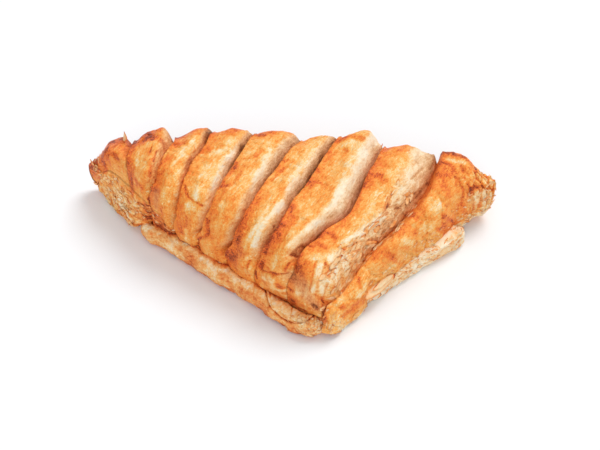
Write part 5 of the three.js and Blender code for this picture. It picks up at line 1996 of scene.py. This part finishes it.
CRUST_STOPS = (
    (0.00, linear(255, 236, 202)),
    (0.18, linear(255, 216, 156)),
    (0.34, linear(255, 188, 102)),
    (0.50, linear(251, 158, 66)),
    (0.64, linear(246, 132, 50)),
    (0.78, linear(230, 106, 40)),
    (0.90, linear(192, 80, 32)),
    (1.00, linear(136, 56, 24)),
)
DOUGH_STOPS = (
    (0.00, linear(255, 238, 210)),
    (0.25, linear(250, 216, 174)),
    (0.50, linear(228, 180, 132)),
    (0.75, linear(190, 136, 86)),
    (1.00, linear(128, 78, 44)),
)
LEAF_STOPS = (
    (0.00, linear(255, 226, 180)),
    (0.28, linear(255, 204, 146)),
    (0.50, linear(252, 164, 86)),
    (0.75, linear(232, 116, 46)),
    (1.00, linear(168, 70, 28)),
)
FLOOR_WHITE = (0.905, 0.92, 0.945, 1.0)
print("crust ramp:", len(CRUST_STOPS), "stops, dough:", len(DOUGH_STOPS), "and leaves:", len(LEAF_STOPS))

# %% [markdown]
# ## Finish of the crust
# Baked crust is a matt skin with a slight gloss where egg wash has browned. The point
# attributes give the large pattern. Noises add what is finer than the mesh: fibres along
# the slats, specks, crumbs and red spots. The sum picks a colour on two ramps, one for
# toasted crust and one for raw dough, and the same noises feed the bump.

# %% Patterns of the crust
crust_finish, crust, crust_shader = new_finish("baked_crust")
position = crust.out(crust.node("ShaderNodeTexCoord"), "Object")
grain = crust.field("grain", "Vector")
bake, dough, flaky = crust.field("bake"), crust.field("dough"), crust.field("flaky")

fibres = crust.noise(crust.stretched(grain, (1.0, 0.26, 1.0)), 760.0, 3.0, 0.7, 0.5)
mottle = crust.noise(position, 260.0, 4.0, 0.66)
specks = crust.noise(crust.stretched(grain, (1.0, 0.5, 1.0)), 1500.0, 2.0, 0.75)
crumbs = crust.noise(position, 2300.0, 1.0, 0.6)
blotches = crust.noise(position, 85.0, 3.0, 0.6)
flecks = crust.noise(crust.stretched(grain, (1.0, 0.3, 1.0)), 420.0, 3.0, 0.65)
# Pale flecks: partly the crust's own pale spots, partly painted glints of light.
pale_flecks_and_glints = crust.between(flecks, 0.25, 0.95)
red_spots = crust.between(crust.noise(position, 620.0, 3.0, 0.65), 0.20, 0.90)
toasting = crust.between(bake, 0.30, 0.60)
print("nodes for the patterns:", len(crust.tree.nodes))

# %% Colour, bump and gloss of the crust
# Each leaf of crust is browner towards its torn edge, and the next one starts pale again.
leaf_field = crust.noise(crust.stretched(grain, (1.0, 0.3, 1.0)), 200.0, 3.0, 0.6)
leaf_count = 2.2 * leaf_field + 0.15 * specks
leaf_share = crust.out(crust.node("ShaderNodeMath", {"operation": "FRACT"}, {0: leaf_count}))
leaf_strength = 0.04 + 0.20 * flaky

outline = crust.between(leaf_share, 0.80, 0.97) * flaky
brown = bake - 0.035 + 0.16 * mottle + 0.20 * fibres + 0.22 * specks + 0.14 * crumbs + 0.08 * blotches
brown = brown + 0.24 * toasting * red_spots - 0.32 * pale_flecks_and_glints
brown = brown + leaf_strength * (leaf_share - 0.55) + 0.24 * outline
toasted = crust.ramp(brown, CRUST_STOPS)
doughy = crust.ramp(brown, DOUGH_STOPS)
colour = crust.blend(dough, toasted, doughy)

height = 0.5 * fibres + 0.3 * specks + 0.4 * mottle + (0.15 + 0.6 * flaky) * leaf_share
relief = crust.node("ShaderNodeBump", {}, {"Strength": 0.85, "Distance": 0.0006, "Height": height})
crust.tree.links.new(colour.socket, crust_shader.inputs["Base Color"])
crust.tree.links.new(relief.outputs[0], crust_shader.inputs["Normal"])
shine = crust.between(bake, 0.3, 0.75, 0.58, 0.40)
crust.tree.links.new((shine + 0.06 * specks).socket, crust_shader.inputs["Roughness"])
crust_shader.inputs["Specular IOR Level"].default_value = 0.22
for piece in (top_sheet, bottom_sheet):
    piece.data.materials.append(crust_finish)
print("crust finish:", len(crust.tree.nodes), "nodes")

# %% [markdown]
# ## Finish of the loose leaves
# A shed leaf is one thin layer: straw-coloured in the middle and toasted along part of its
# torn rim. Its random tone moves it along a ramp of its own, so neighbours differ.

# %% Finish of the loose leaves
leaf = Recipe(leaf_finish.node_tree)
leaf_shader = leaf_finish.node_tree.nodes["Principled BSDF"]
leaf_position = leaf.out(leaf.node("ShaderNodeTexCoord"), "Object")
tone, leaf_rim = leaf.field("tone"), leaf.field("outline")
leaf_specks = leaf.noise(leaf_position, 1500.0, 3.0, 0.7)
leaf_mottle = leaf.noise(leaf_position, 420.0, 3.0, 0.6)
toasted_rim = leaf.between(leaf_rim, 0.60, 1.0)
rim_part = leaf.between(leaf.noise(leaf_position, 300.0, 2.0), -0.35, 0.55)
edged = leaf.field("edged")
leaf_brown = 0.13 + 0.36 * tone + 0.55 * toasted_rim * (rim_part + 0.6 * edged)
leaf_brown = leaf_brown + 0.20 * leaf_specks + 0.20 * leaf_mottle
leaf_colour = leaf.ramp(leaf_brown, LEAF_STOPS)
leaf.tree.links.new(leaf_colour.socket, leaf_shader.inputs["Base Color"])
leaf_height = leaf_specks + leaf_mottle
leaf_relief = leaf.node("ShaderNodeBump", {}, {"Strength": 0.6, "Distance": 0.0004, "Height": leaf_height})
leaf.tree.links.new(leaf_relief.outputs[0], leaf_shader.inputs["Normal"])
leaf_shader.inputs["Roughness"].default_value = 0.5
leaf_shader.inputs["Specular IOR Level"].default_value = 0.3
print("leaf finish:", len(leaf.tree.nodes), "nodes")

# %% [markdown]
# ## Finish of the floor
# The sweep is plain matt paper, a little cool, so that the warm lamps leave it white.

# %% Finish of the floor
floor_finish, _, floor_shader = new_finish("white_sweep")
floor_shader.inputs["Base Color"].default_value = FLOOR_WHITE
floor_shader.inputs["Roughness"].default_value = 0.9
floor_shader.inputs["Specular IOR Level"].default_value = 0.1
floor.data.materials.append(floor_finish)
print("floor finish:", floor_finish.name)

# %% [markdown]
# ## Tell the frame what each piece is
# Each piece rides on the one body and replaces the plain solid.

# %% Ride and replace
for piece in (top_sheet, bottom_sheet):
    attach(piece, "root")
    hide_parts("turnover")
for piece in (top_leaves, edge_leaves, few_leaves):
    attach(piece, "root")
    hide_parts("turnover")
